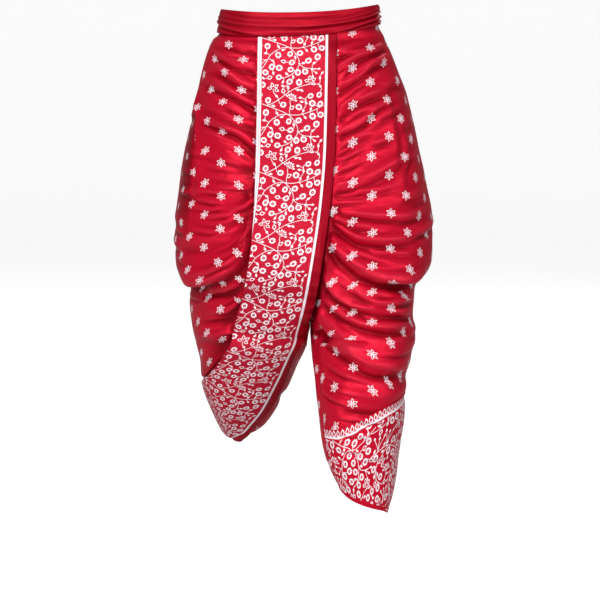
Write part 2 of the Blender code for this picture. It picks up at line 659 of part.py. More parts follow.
def build():
    for obj in list(bpy.data.objects):
        bpy.data.objects.remove(obj, do_unlink=True)
    star_cloth = cloth("star_satin", CLOTH_RED, 0.38, 0.25)
    make_leg("right_leg", "right", star_cloth)
    make_leg("left_leg", "left", star_cloth)
    vine_cloth = cloth("vine_satin", PANEL_RED, 0.45, 0.2)
    make_border("left_hem_border", vine_cloth)
    make_strip("front_panel", np.linspace(0, 1 - PIECE_GAP / PANEL_WIDTH, PANEL_COLUMNS + 1), vine_cloth)
    edge_cloth = cloth("edging_satin", EDGE_RED, 0.42, 0.2)
    make_strip("panel_edging", np.linspace(1, 2, EDGING_COLUMNS + 1), edge_cloth)
    make_band("waistband", cloth("band_satin", BAND_RED, 0.40, 0.25))


build()
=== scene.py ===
"""Dhoti pants: draped satin legs, printed front panel, hem border and shirred waistband.

Cloth shells, their folds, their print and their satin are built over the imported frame.
The origin is the centre of the waist opening. +Z is up, the front faces -Y, the wearer's
left leg is +X and strides forward. Sizes are metres, and millimetres in tables read by `milli`.
"""

import functools
import math

import bpy
import numpy as np
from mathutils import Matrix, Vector, geometry


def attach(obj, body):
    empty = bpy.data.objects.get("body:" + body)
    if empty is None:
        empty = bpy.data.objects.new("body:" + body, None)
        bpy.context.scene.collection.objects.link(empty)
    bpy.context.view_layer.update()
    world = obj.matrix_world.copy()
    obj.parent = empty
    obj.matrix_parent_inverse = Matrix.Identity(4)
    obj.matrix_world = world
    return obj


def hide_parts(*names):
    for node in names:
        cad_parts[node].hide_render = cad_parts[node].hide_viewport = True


bl_info = {
    "name": "Dhoti pants",
    "version": (1, 0, 0),
    "blender": (4, 5, 0),
    "location": "3D View > Sidebar > Dhoti",
    "description": "Draped satin dhoti pants with printed front panel, hem border and waistband",
    "category": "Add Mesh",
}

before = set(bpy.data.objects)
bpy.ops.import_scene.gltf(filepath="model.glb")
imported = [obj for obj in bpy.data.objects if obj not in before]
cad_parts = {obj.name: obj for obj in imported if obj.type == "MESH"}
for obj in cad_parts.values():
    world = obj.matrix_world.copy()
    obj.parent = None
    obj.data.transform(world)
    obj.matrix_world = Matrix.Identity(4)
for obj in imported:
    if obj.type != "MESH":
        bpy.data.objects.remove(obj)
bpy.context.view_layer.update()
BODY = "root"


def milli(*rows):
    """Table written in millimetres, or in thousandths where it holds shares."""
    return np.array(rows) / 1000


# ---- garment form
# Power of every squared oval: 2 would be a plain one.
SQUARENESS = 2.3
# Share round from a seam over which the legs' depths meet, and the heights where they part.
SEAM_REACH, CROTCH_BOTTOM, CROTCH_FADE = 0.30, -0.70, 0.10
# How far the legs run up inside the waistband, and the gap between sewn pieces.
TUCK, PIECE_GAP = 0.010, 0.0004
# Panel: its width, gap under the band, lift off the thighs and lift where gathers go under it.
PANEL_WIDTH, PANEL_TOP_GAP, PANEL_LIFT = 0.133, 0.0016, 0.0040
EDGE_LIFT, EDGE_LIFT_REACH = 0.0020, 0.12
# Height at which the panel starts to turn round the calf, and over which it does.
PANEL_TURN_TOP, PANEL_TURN_FADE = -0.585, 0.055
EDGING_WIDTH, EDGING_POSTS = 0.0155, 13
HIP_SAMPLES, HIP_LEVELS, SECTION_STEPS = 61, 70, 160
# Steps down and round of the cloth grids.
LEG_GRID = (330, 148)
PANEL_GRID = (360, 60)
BORDER_GRID = (72, 200)
BAND_GRID = (64, 420)
# Step for slopes, and metres round a leg that slopes are measured against.
PROBE, LEG_GIRTH = 0.004, 0.72
# Heights, sideways places and shares round of the taut front over the thighs.
HIP_HEIGHTS, HIP_PLACES, HIP_SHARES = (-0.66, -0.02), (-0.17, 0.09), (0, 0.46)

# Each row of a leg: height, outer reach, inner reach past the centre is negative,
# front depth and back depth of its oval section.
RIGHT_ROWS = milli(
    # z,     outer,  inner,   front,   back
    (-854, 139, 84, 100, 194), (-830, 154, 78, 74, 198), (-808, 164, 64, 52, 200),
    (-788, 172.5, 51.5, 34, 201), (-768, 180, 42, 16, 201), (-752, 184.5, 38.5, 2, 201),
    (-733, 188.5, 24.5, -13, 200), (-710, 193, 14.5, -28, 199), (-678, 198.5, 3, -49, 195),
    (-635, 208.5, -12.5, -72, 190), (-592, 216, -19.5, -90, 186), (-550, 219, -30, -106, 184),
    (-526, 216.5, -40, -114, 186), (-516, 217, -44, -121, 190), (-508, 221.5, -47.5, -127, 192),
    (-499, 229, -51, -133, 194), (-487, 238.5, -56.5, -139, 195), (-473, 244, -63, -143, 194),
    (-448, 246, -74, -148, 190), (-408, 245, -90, -152, 184), (-368, 240.5, -104, -154, 178),
    (-328, 235, -116, -154, 172), (-288, 230, -127, -152, 166), (-249, 223, -136, -149, 159),
    (-210, 214, -144, -145, 151), (-172, 206, -151, -140, 143), (-133, 198, -157, -134, 134),
    (-94, 189, -161, -127, 125), (-56, 177, -164, -116.5, 116.5), (-36, 168, -164, -107.5, 111),
    (-26.5, 157, -160, -105.5, 107.5), (-19, 155, -157, -105, 104.5), (30, 150, -152, -103, 101),
)
LEFT_ROWS = milli(
    # z,     outer,  inner,   front,   back
    (-924, 166, 92, -226, -118), (-903, 172, 82, -229, -108), (-885, 176.5, 74, -231, -98),
    (-866, 180, 66, -232, -88), (-848, 183, 58, -233, -78), (-829, 185, 51, -233, -68),
    (-792, 190.5, 42, -232, -46), (-755, 197.2, 37, -230, -23), (-718, 200, 32, -228, 0),
    (-700, 201, 30, -227, 11), (-680, 197.5, 28, -226, 22), (-643, 211.5, 22.5, -223, 43),
    (-625, 215, 21, -221.5, 52), (-606, 221.5, 19.5, -220, 62), (-587, 222.5, 15, -218, 71),
    (-568, 216.5, 10, -215, 80), (-531, 219.5, -2, -210, 96), (-512, 221, -9, -208, 106),
    (-501, 224, -14, -209, 114), (-489, 236, -19, -210, 122), (-474, 248.5, -25, -210, 129),
    (-456, 255, -34, -207, 133), (-437, 256.5, -44, -203, 136), (-399, 256.5, -65, -193, 140),
    (-362, 252.5, -83, -183, 143), (-324, 244.5, -99, -174, 144), (-286, 237, -113, -166, 143),
    (-248, 228, -125, -158, 141), (-209, 220, -136, -151, 138), (-171, 211, -146, -144, 133),
    (-133, 201, -154, -136, 128), (-94, 188, -160, -128, 122), (-56, 173, -164, -116.5, 115.5),
    (-36, 164, -164, -107.5, 110.5), (-26.5, 160, -160, -105.5, 107.5),
    (-19, 155, -157, -105, 104.5), (-12, 151.5, -156, -104.5, 104), (30, 148, -152, -103, 101),
)
# Height and sideways place of the seam between the legs.
SEAM_ROWS = milli((-950, 19.5), (-600, 19.5), (-400, 10), (-220, 0), (50, 0))

# Oval the front panel lies on once it is round the right calf.
PANEL_ROWS = milli(
    # z,     outer,  inner,   front,   back
    (-870, 138, 74, 92, 202), (-854, 146.5, 72, 86, 203), (-830, 162.5, 58, 64, 207),
    (-786, 180, 32, 22, 209), (-742, 194, 6, -15, 208), (-700, 203, -20, -44, 203),
    (-656, 213, -47, -75, 198), (-600, 222, -84, -113, 192), (-560, 225, -105, -128, 186),
)
# Height, then the sideways places of the panel's left edge, of its seam with the edging
# and of the edging's right edge; below the turn round the calf they are angles instead.
PANEL_EDGES = milli(
    # z,     left,    seam,   right
    (-29, -79, 53.5, 69.5), (-148, -80, 51.5, 67.5), (-241, -82, 49, 65), (-334, -85, 41.5, 57.5),
    (-430, -93, 28, 44.5), (-530, -112, 11, 28.5), (-560, -120, 4.5, 21.5), (-596, -130, -5, 11),
)
PANEL_TURNS = (
    # z,     left,   seam,   right   degrees on the oval, 0 outer side, minus to the front
    (-0.596, -70.5, -110.9, -116.7), (-0.64, -64.0, -112.9, -118.4), (-0.69, -42.0, -113.5, -121.9),
    (-0.715, -17.0, -112.9, -123.0), (-0.745, 8.0, -111.3, -122.9), (-0.77, 31.0, -107.6, -119.7),
    (-0.79, 50.0, -101.7, -114.1), (-0.81, 72.0, -94.3, -105.8), (-0.825, 88.0, -87.5, -99.0),
    (-0.84, 102.0, -58.0, -88.5), (-0.85, 111.0, -40.0, -76.0),
)
# Foot of the panel: 0 left edge, 1 seam with the edging, 2 right edge of the edging.
PANEL_FOOT = milli((0, -812), (450, -832), (1000, -842), (1500, -846.5), (2000, -848))

# Share round each leg at which the panel's edge covers it; folds start from here.
RIGHT_COVER = milli(
    (-850, 880), (-800, 750), (-760, 600), (-711, 445), (-681, 364), (-633, 311), (-589, 276),
    (-526, 207), (-426, 147), (-333, 132), (-240, 133), (-148, 145), (-30, 176),
)
LEFT_COVER = milli(
    (-950, -50), (-620, -40), (-550, 20), (-490, 45), (-430, 62), (-370, 77), (-306, 92),
    (-240, 113), (-170, 123), (-90, 139), (-30, 158),
)
# Lower edges, by share of the way round from the front seam to the back seam.
RIGHT_HEM = milli(
    (0, -784), (50, -800), (100, -815), (280, -832), (500, -822), (750, -796), (920, -785),
    (1000, -784),
)
LEFT_HEM = milli(
    (0, -830), (50, -855), (100, -877), (200, -896), (330, -911), (450, -923), (580, -912),
    (800, -868), (1000, -830),
)
BORDER_LINE = milli(
    (0, -778), (137, -774), (173, -771), (215, -760), (272, -743), (342, -726), (471, -716),
    (600, -722), (800, -752), (1000, -778),
)
# Shares round that the border spans, its lift off the leg, and its room above the line.
BORDER_SPAN, BORDER_FACE, BORDER_LEAVES = (0.09375, 0.994), 0.0015, 0.014
# Scale, width and start of the border's vine, and its drop from one repeat to the next.
BORDER_PRINT, BORDER_VINE, BORDER_START, BORDER_STAGGER = 1.12, 0.128, (-0.020, 0.0205), 0.4
# Leaves on the border's line: pitch, place of their roots, length, width; the line's place.
LEAF_PITCH, LEAF_ROOT, LEAF_SIZE, LEAF_LINE = 0.0104, 0.0142, (0.0138, 0.0088), 0.0135

# Rim and foot heights of the band: middle, tilt to the left, tilt to the back, sides up.
BAND_RIM = (0.0155, 0.0045, 0.0005, 0.0110)
BAND_FOOT = (-0.0220, 0.0080, 0.0060, 0.0080)
BAND_REACH, BAND_DEPTH = 0.158, 0.109
BAND_OVAL = (
    # share up, right reach, left reach, front, back
    (0.0, 0.1605, 0.156, -0.112, 0.1095), (0.5, 0.157, 0.1535, -0.1105, 0.108),
    (1.0, 0.152, 0.1505, -0.108, 0.106),
)

# ---- folds
# Crest height, spread above, spread below, hollow under it, peak (2 round, 1 creased),
# fade in, fade out, then the crest as pairs of share round the leg and height.
RIGHT_FOLDS = (
    # gathers that fan from the waist and the hip into the panel's edge
    (0.0052, 0.01, 0.007, 0.7, 1.6, 0.02, 0.18, (110, -60, 170, -49, 240, -43, 333, -36, 450, -36)),
    (0.0055, 0.009, 0.006, 0.9, 1.5, 0.02, 0.16,
     (110, -98, 159, -89, 229, -81, 283, -72, 342, -61, 420, -50)),
    (0.0044, 0.011, 0.007, 0.8, 1.6, 0.02, 0.18,
     (110, -135, 150, -125, 201, -116, 251, -103, 308, -89, 400, -80)),
    (0.006, 0.01, 0.006, 1.0, 1.4, 0.02, 0.2,
     (110, -170, 144, -158, 180, -148, 217, -137, 278, -125, 332, -118, 440, -110)),
    (0.0036, 0.009, 0.006, 0.7, 1.5, 0.02, 0.16,
     (110, -203, 140, -195, 195, -187, 236, -181, 285, -171, 360, -160)),
    (0.0065, 0.011, 0.007, 1.1, 1.4, 0.02, 0.18,
     (110, -245, 138, -232, 164, -220, 198, -207, 240, -198, 281, -186, 380, -178)),
    (0.0039, 0.012, 0.008, 0.7, 1.6, 0.02, 0.18,
     (110, -275, 132, -269, 171, -263, 216, -257, 300, -252)),
    (0.0034, 0.012, 0.008, 0.5, 1.8, 0.02, 0.18, (110, -308, 150, -306, 200, -304, 270, -304)),
    (0.0052, 0.012, 0.005, 1.0, 1.3, 0.02, 0.16,
     (110, -322, 132, -331, 168, -346, 215, -350, 270, -346)),
    (0.0039, 0.012, 0.008, 0.6, 1.7, 0.04, 0.16,
     (120, -335, 186, -360, 225, -373, 268, -374, 330, -366)),
    (0.0036, 0.014, 0.01, 0.6, 1.8, 0.05, 0.08,
     (170, -392, 245, -404, 276, -412, 307, -415, 400, -420)),
    # cowl rolls that swing from the panel round the outer side to the back seam
    (0.012, 0.03, 0.0085, 1.1, 1.7, 0.03, 0.13,
     (100, -362, 139, -396, 160, -422, 194, -453, 227, -470, 267, -483, 331, -494, 400, -499,
      460, -500)),
    (0.01, 0.028, 0.009, 1.0, 1.7, 0.12, 0.1,
     (480, -500, 560, -494, 640, -480, 780, -440, 920, -398)),
    (0.0065, 0.009, 0.006, 0.9, 1.5, 0.03, 0.1,
     (120, -405, 150, -437, 180, -468, 210, -489, 250, -503, 300, -511, 360, -515)),
    (0.0065, 0.016, 0.009, 0.9, 1.6, 0.03, 0.12,
     (150, -466, 180, -498, 236, -535, 271, -549, 306, -555, 370, -560)),
    (0.0046, 0.02, 0.013, 0.6, 1.8, 0.05, 0.16, (190, -552, 260, -590, 340, -608, 460, -616)),
    (0.006, 0.018, 0.011, 0.8, 1.6, 0.12, 0.1, (520, -560, 620, -562, 740, -545, 880, -500)),
    (0.0039, 0.024, 0.015, 0.5, 2.0, 0.05, 0.12,
     (300, -655, 400, -692, 540, -705, 720, -690, 900, -650)),
    # back gathers
    (0.0059, 0.012, 0.008, 0.8, 1.5, 0.1, 0.04,
     (560, -92, 660, -94, 760, -104, 860, -112, 970, -128)),
    (0.0065, 0.013, 0.008, 0.9, 1.5, 0.12, 0.04,
     (540, -140, 640, -152, 750, -168, 860, -184, 970, -204)),
    (0.0047, 0.011, 0.007, 0.7, 1.5, 0.1, 0.04, (620, -196, 720, -208, 840, -226, 970, -250)),
    (0.006, 0.016, 0.01, 0.9, 1.5, 0.12, 0.04,
     (540, -236, 660, -256, 760, -270, 870, -288, 970, -306)),
    (0.0052, 0.012, 0.008, 0.7, 1.6, 0.12, 0.04,
     (600, -300, 700, -318, 800, -330, 900, -338, 970, -342)),
    (0.007, 0.02, 0.012, 0.9, 1.6, 0.12, 0.04,
     (500, -344, 620, -372, 740, -382, 860, -372, 970, -352)),
    (0.0059, 0.014, 0.009, 0.7, 1.6, 0.12, 0.04,
     (540, -420, 660, -432, 780, -418, 900, -388, 970, -368)),
)
LEFT_FOLDS = (
    (0.0044, 0.009, 0.006, 0.7, 1.5, 0.02, 0.08, (100, -72, 150, -59, 281, -37, 380, -34)),
    (0.0055, 0.009, 0.0055, 1.0, 1.3, 0.02, 0.1,
     (100, -104, 139, -90, 221, -66, 303, -55, 383, -45, 440, -40)),
    (0.0034, 0.008, 0.006, 0.7, 1.5, 0.02, 0.08,
     (100, -128, 138, -109, 191, -85, 258, -72, 340, -66)),
    (0.0047, 0.01, 0.007, 0.8, 1.5, 0.02, 0.1,
     (100, -134, 154, -116, 217, -99, 293, -76, 380, -68)),
    (0.0047, 0.011, 0.007, 0.8, 1.5, 0.02, 0.1,
     (90, -184, 123, -171, 178, -149, 251, -135, 340, -124)),
    (0.0052, 0.013, 0.005, 1.0, 1.3, 0.02, 0.08,
     (90, -212, 124, -206, 165, -198, 204, -185, 236, -171, 300, -156)),
    (0.0034, 0.01, 0.007, 0.6, 1.6, 0.02, 0.07,
     (80, -248, 113, -238, 143, -222, 179, -212, 250, -204)),
    (0.0039, 0.012, 0.009, 0.6, 1.8, 0.02, 0.12,
     (70, -308, 92, -306, 140, -303, 195, -291, 242, -276, 340, -262)),
    (0.0029, 0.012, 0.006, 0.8, 1.4, 0.04, 0.1,
     (100, -352, 144, -356, 210, -360, 300, -362, 400, -356)),
    (0.0042, 0.01, 0.006, 0.8, 1.5, 0.015, 0.06,
     (60, -345, 73, -354, 112, -369, 152, -379, 200, -382)),
    # cowl rolls
    (0.008, 0.013, 0.007, 1.0, 1.5, 0.015, 0.14,
     (55, -352, 77, -366, 97, -378, 118, -390, 149, -402, 211, -406, 340, -398)),
    (0.0115, 0.02, 0.0085, 1.1, 1.5, 0.015, 0.13,
     (45, -380, 70, -402, 93, -424, 125, -444, 166, -462, 227, -476, 289, -478, 350, -476,
      410, -474)),
    (0.01, 0.02, 0.009, 1.0, 1.6, 0.12, 0.1, (480, -472, 600, -464, 780, -432, 930, -392)),
    (0.0059, 0.009, 0.006, 0.9, 1.4, 0.04, 0.1,
     (140, -492, 189, -511, 244, -521, 313, -520, 420, -520)),
    (0.0085, 0.014, 0.007, 1.0, 1.5, 0.015, 0.08,
     (50, -462, 76, -487, 114, -511, 163, -527, 212, -534, 283, -536, 340, -543, 400, -552)),
    (0.0075, 0.016, 0.009, 0.9, 1.6, 0.12, 0.1, (520, -552, 620, -544, 780, -510, 920, -468)),
    (0.0065, 0.013, 0.007, 0.9, 1.5, 0.02, 0.1,
     (60, -500, 89, -523, 138, -545, 196, -561, 248, -567, 323, -568, 400, -570)),
    (0.008, 0.02, 0.01, 0.9, 1.6, 0.02, 0.12,
     (50, -536, 76, -561, 140, -590, 209, -611, 272, -633, 332, -641, 420, -645)),
    (0.006, 0.02, 0.011, 0.8, 1.6, 0.12, 0.12, (520, -632, 660, -610, 880, -545)),
    (0.0039, 0.024, 0.012, 0.7, 1.7, 0.08, 0.12,
     (160, -684, 256, -694, 348, -693, 500, -682, 700, -668, 850, -650)),
    # back gathers
    (0.0059, 0.012, 0.008, 0.8, 1.5, 0.1, 0.04,
     (560, -90, 660, -94, 760, -104, 860, -114, 970, -130)),
    (0.0065, 0.013, 0.008, 0.9, 1.5, 0.12, 0.04,
     (540, -134, 640, -148, 750, -164, 860, -182, 970, -204)),
    (0.0047, 0.011, 0.007, 0.7, 1.5, 0.1, 0.04, (620, -190, 720, -204, 840, -224, 970, -250)),
    (0.006, 0.016, 0.01, 0.9, 1.5, 0.12, 0.04,
     (540, -230, 660, -250, 760, -264, 870, -284, 970, -304)),
    (0.0052, 0.012, 0.008, 0.7, 1.6, 0.12, 0.04,
     (600, -294, 700, -310, 800, -324, 900, -334, 970, -340)),
    (0.0066, 0.018, 0.011, 0.9, 1.6, 0.12, 0.04,
     (500, -330, 620, -350, 740, -358, 860, -352, 970, -346)),
    (0.0059, 0.014, 0.009, 0.7, 1.6, 0.12, 0.04,
     (540, -404, 660, -412, 780, -400, 900, -376, 970, -362)),
)
# Upright folds: height, spread to the front, spread to the back, hollow on the back side,
# fade at the top, fade at the foot, then the crest as pairs of height and share.
RIGHT_PLEATS = (
    (0.0052, 0.03, 0.01, 1.3, 0.06, 0.1,
     (-110, 455, -146, 440, -181, 393, -217, 362, -252, 337, -288, 324, -350, 310)),
    (0.003, 0.026, 0.014, 0.6, 0.06, 0.1, (-80, 560, -200, 530, -320, 500, -440, 490)),
)
LEFT_PLEATS = (
    (-0.0034, 0.022, 0.01, 0.0, 0.08, 0.04,
     (-560, 95, -641, 93, -692, 82, -748, 77, -786, 72, -860, 66)),
    (0.0028, 0.022, 0.014, 0.6, 0.05, 0.06,
     (-120, 310, -201, 307, -234, 304, -260, 287, -300, 285)),
    (0.0026, 0.02, 0.012, 0.7, 0.05, 0.06, (-190, 370, -248, 348, -268, 332, -287, 311, -330, 300)),
    (0.003, 0.028, 0.014, 0.6, 0.06, 0.1, (-80, 540, -200, 510, -320, 490, -440, 480)),
)

# Lines along which the cloth hangs, one a row: heights at the shares round named on top.
RIGHT_LINES = (
    milli(110, 150, 200, 260, 330, 420, 540, 660, 800, 960),
    milli(
        (-45, -42, -40, -38, -36, -36, -40, -45, -50, -55),
        (-98, -90, -84, -76, -63, -55, -70, -85, -100, -120),
        (-170, -156, -142, -129, -118, -112, -125, -150, -175, -204),
        (-245, -226, -206, -192, -182, -178, -200, -225, -250, -275),
        (-308, -306, -304, -304, -302, -300, -305, -320, -330, -342),
        (-335, -348, -366, -374, -368, -365, -372, -382, -380, -355),
        (-362, -405, -440, -462, -472, -470, -460, -445, -415, -372),
        (-400, -437, -478, -500, -511, -515, -512, -495, -450, -400),
        (-440, -470, -515, -545, -557, -562, -562, -555, -520, -460),
        (-500, -540, -570, -592, -606, -614, -618, -610, -580, -530),
        (-600, -630, -660, -680, -694, -702, -706, -700, -675, -620),
        (-760, -770, -775, -778, -780, -780, -776, -768, -755, -745),
    ),
)
LEFT_LINES = (
    milli(50, 90, 140, 200, 280, 360, 460, 600, 780, 950),
    milli(
        (-50, -50, -46, -42, -38, -34, -36, -45, -50, -55),
        (-120, -108, -94, -78, -62, -50, -52, -80, -105, -125),
        (-165, -152, -130, -108, -84, -70, -80, -110, -140, -165),
        (-215, -205, -190, -170, -150, -136, -130, -145, -170, -204),
        (-265, -258, -245, -230, -215, -205, -205, -225, -250, -285),
        (-312, -308, -304, -292, -276, -262, -258, -285, -318, -335),
        (-345, -352, -356, -360, -362, -358, -350, -352, -356, -346),
        (-350, -376, -398, -406, -404, -400, -396, -400, -398, -365),
        (-385, -420, -450, -470, -478, -477, -472, -464, -432, -388),
        (-465, -495, -520, -533, -536, -545, -552, -545, -510, -455),
        (-500, -523, -545, -562, -568, -569, -572, -570, -550, -500),
        (-540, -565, -590, -610, -633, -641, -640, -622, -580, -530),
        (-640, -655, -672, -685, -692, -692, -688, -675, -655, -620),
        (-790, -800, -810, -815, -820, -820, -818, -810, -790, -770),
    ),
)
# Height and sideways place of the line on each leg from which its star columns are set off.
RIGHT_UPRIGHT = milli((-900, 118), (-200, 118), (-130, 113), (-50, 106))
LEFT_UPRIGHT = milli((-950, 103), (0, 103))
# Small creases strewn along those lines.
CREASES = (
    # count, from, to (shares round), length, height, spread, for fine tucks first
    (60, 0.0, 0.12, 0.14, 0.0027, 0.0038), (24, 0.06, 0.26, 0.16, 0.0027, 0.0062),
    (12, 0.12, 0.3, 0.2, 0.0034, 0.012), (30, 0.55, 0.85, 0.22, 0.003, 0.0085),
)
CREASE_SEED = 5
# Seeded ranges of a crease: its place in its share of the lines, and length, height and
# spread as shares of the row above; its tilt; and how far before the lines it may start.
CREASE_PLACES, CREASE_LENGTHS, CREASE_HEIGHTS = (0.1, 0.9), (0.7, 1.4), (0.5, 1.3)
CREASE_SPREADS, CREASE_TILTS, CREASE_LEAD = (0.75, 1.3), (-0.06, 0.06), 0.02
# Shares of a crease over which it fades, and its profile: spread below, hollow and peak.
CREASE_FADE_IN, CREASE_FADE_OUT = 0.35, 0.6
CREASE_BELOW, CREASE_HOLLOW, CREASE_PEAK = 0.7, 0.9, 1.7
HOLLOW_DEPTH, HOLLOW_SPREAD = 0.80, 0.95
# Wander of the crests, unevenness of their height, and slow swells between them.
CREST_WANDER, CREST_UNEVEN, SWELL = 0.0016, 0.22, 0.0012
EDGING_SWELL, BAND_SWELL = 0.0011, 0.0003
# Peak of the upright folds, and their share of the crests' wander.
PLEAT_PEAK, PLEAT_WANDER = 1.6, 0.5
# Rates of these slow waves over share round and height, and the swell's rise from the hem.
WANDER_RATES, UNEVEN_RATES, SWELL_RATES, SWELL_RISE = (34, 38), (22, 6), (30, 16), 0.05
EDGING_RATES, BAND_RATES = (2.6, 20), (9, 5)
# Height at which folds start under the waistband, and over how much they reach full height.
FOLDS_FROM, FOLDS_RISE = -0.035, 0.03
# Share before the panel's edge at which folds start, and over which they rise.
COVER_LEAD, COVER_RISE = 0.004, 0.016
FOLD_SCALE = 1.30

# Main stem and side stems of one repeat, as pairs of share across and share down it.
VINE_STEMS = (
    (-0.03, 0.0, 0.14, -0.03, 0.26, -0.03, 0.37, 0.01, 0.51, 0.083, 0.63, 0.16, 0.7, 0.25, 0.745,
     0.38, 0.735, 0.49, 0.66, 0.6, 0.58, 0.64),
    (0.64, 0.17, 0.56, 0.185, 0.47, 0.28, 0.42, 0.41, 0.35, 0.56, 0.22, 0.66, 0.02, 0.7, -0.03,
     0.7),
    (0.44, 0.05, 0.54, -0.03, 0.62, -0.12, 0.72, -0.21, 0.85, -0.26, 0.94, -0.25),
    (0.3, -0.02, 0.15, 0.08, 0.07, 0.2, 0.08, 0.33, 0.19, 0.43),
    (0.74, 0.42, 0.8, 0.49, 0.92, 0.52),
    (0.65, 0.18, 0.75, 0.185, 0.88, 0.14, 1.04, 0.04),
)
# Fans of stalks: root across and down, heading and half spread in degrees, stalks, reach.
VINE_FANS = (
    (0.1, -0.022, -84.0, 26.0, 3, 0.023), (0.25, -0.03, -74.0, 22.0, 3, 0.025),
    (0.43, 0.36, 160.0, 24.0, 2, 0.015), (0.24, 0.65, -86.0, 30.0, 3, 0.017),
    (0.86, 0.51, 40.0, 34.0, 3, 0.014),
)
VINE_BURSTS = ((0.67, -0.04, -60.0), (0.3, 0.31, -80.0))
VINE_CLUSTERS = ((0.18, 0.15, -40.0), (0.5, 0.79, -70.0), (0.86, 0.7, -60.0))
VINE_TRIALS = (
    # kind, count, room round it, room from a stem
    ("flower", 36, 0.0134, 0.0054), ("leaf", 8, 0.0108, 0.005), ("bud", 46, 0.0076, 0.0032),
)
# Lines of the braid, by their distance from the panel's left edge, the room it takes, and
# how far it turns out of sight from one place down the panel over the next length.
BRAID = ((0.0, 0.0009), (0.0012, 0.0041), (0.0047, 0.0078))
BRAID_ROOM, BRAID_TURN, BRAID_FROM, BRAID_OVER = 0.0088, 0.0085, 0.24, 0.17
# Room left plain beside the bold line, and its gap from the edging.
LINE_ROOM, LINE_GAP = 0.0065, 0.0004
# Widths of lines at their start and end.
STEM, FAN_STALK = (0.0012, 0.0010), (0.0011, 0.0009)
MOTIF_STALK, BURST_STALK = (0.00115, 0.0009), (0.0009, 0.0007)
# Sizes of motifs: length and width, or least and greatest where they are drawn.
FAN_BUD, LEAF, BUD_LENGTHS, BUD_WIDTH = (0.0062, 0.0040), (0.0105, 0.0076), (0.0064, 0.0076), 0.0044
FLOWERS, BURST, CLUSTER = (0.0049, 0.0058), 0.0125, 0.0092
# Room that fixed motifs keep round them: ends and middles of fan stalks, bursts, clusters.
FAN_ROOM, STALK_ROOM, WIDE_ROOM = 0.0095, 0.0070, 0.0250
TRIES = 2600
# How far before a motif's middle its stalk ends.
STALK_ENDS = {"fixed": 0.0, "flower": 0.0052, "leaf": 0.002, "bud": 0.001}
PRINT_SEED = 11
GLOSS = 0.26
CLOUDS = 0.10
PETAL_TINT = 0.08
# Shares of a star's radius: where its petals start, their length, half width, and the ring.
PETAL_START, PETAL_LENGTH, PETAL_HALF, STAR_RING = 0.16, 0.86, 0.205, 0.15
# Reach of the painted shade beside the panel's edge, and the heights at which it starts on each
# leg.
TUCK_SHADE = 0.024
TUCK_TOPS = {"right": -0.08, "left": -0.28}
TUCK_FADE = 0.12
# Share round the right leg past which shade is painted on its flank, at heights.
FLANK = milli((-460, 333), (-360, 335), (-280, 348), (-210, 378), (-140, 430))
# Painted flank shade: share over which it rises, its width round the leg, and its strength.
FLANK_EDGE, FLANK_WIDTH, FLANK_SHADE = 0.016, 0.15, 0.85
# Painted shading of folds on each piece: rows each way that a fold is compared with, and how far
# out of them counts as full painted highlight, or how far in as full painted shade.
LEG_SHADING, EDGING_SHADING, BAND_SHADING = (4, 0.0024), (5, 0.0030), (7, 0.0019)
# Strength and red of the painted highlight on fold crests, then of the painted shade in fold
# valleys.
CREST_HIGHLIGHT, HIGHLIGHT_RED = 0.42, (0.62, 0.030, 0.060, 1.0)
VALLEY_SHADE, SHADE_RED = 0.72, (0.11, 0.0, 0.001, 1.0)
NET_SCALE = 1000.0


# ---- formulas
def through(rows, at):
    """Reads a table's columns at `at`: cubic curves whose slopes are the harmonic mean of
    their neighbours' slopes, or none at a turning point, so they never overshoot."""
    rows = np.asarray(rows, float)
    if rows[0, 0] > rows[-1, 0]:
        rows = rows[::-1]
    x, y = rows[:, 0], rows[:, 1:]
    step = np.diff(x)[:, None]
    slope = np.diff(y, axis=0) / step
    same = slope[:-1] * slope[1:] > 0
    before, after = np.where(same, slope[:-1], 1), np.where(same, slope[1:], 1)
    w1, w2 = 2 * step[1:] + step[:-1], step[1:] + 2 * step[:-1]
    middle = np.where(same, (w1 + w2) / (w1 / before + w2 / after), 0)
    tangent = np.concatenate([slope[:1], middle, slope[-1:]])
    at = np.clip(np.asarray(at, float), x[0], x[-1])
    k = np.clip(np.searchsorted(x, at, side="right") - 1, 0, len(x) - 2)
    h = step[k, 0]
    t = ((at - x[k]) / h)[..., None]
    h = h[..., None]
    return (
        (1 + 2 * t) * (1 - t) ** 2 * y[k]
        + t * (1 - t) ** 2 * h * tangent[k]
        + t * t * (3 - 2 * t) * y[k + 1]
        + t * t * (t - 1) * h * tangent[k + 1]
    )


def ease(x):
    """Three x squared less two x cubed, between 0 and 1."""
    x = np.clip(x, 0, 1)
    return x * x * (3 - 2 * x)


def unit(vectors):
    """Vectors brought to a length of one."""
    return vectors / np.maximum(np.linalg.norm(vectors, axis=-1, keepdims=True), 1e-12)


def steps_of(points, axis=0):
    """Lengths of the steps from point to point along one axis of a path or a grid."""
    return np.linalg.norm(np.diff(points, axis=axis), axis=-1)


def facing(angle):
    """Flat unit vector at an angle."""
    return np.array([math.cos(angle), math.sin(angle)])


def bulged(x):
    """Sign of x times its size to the power two over squareness."""
    return np.sign(x) * np.abs(x) ** (2 / SQUARENESS)


def unbulged(x):
    """The opposite of `bulged`."""
    return np.sign(x) * np.abs(x) ** (SQUARENESS / 2)


def unevenness(a, b, rates, seed):
    """Slow waves between -1 and 1 over two measures, the rates being the greatest turns in
    radians for one of each: a sum of seeded sines."""
    draw = np.random.default_rng(seed)
    a, b, total = a * rates[0], b * rates[1], 0.0
    for _ in range(5):
        fa, fb, phase = draw.uniform(-1, 1), draw.uniform(-1, 1), draw.uniform(0, 2 * math.pi)
        total = total + np.sin(fa * a + fb * b + phase)
    return total / 3.2


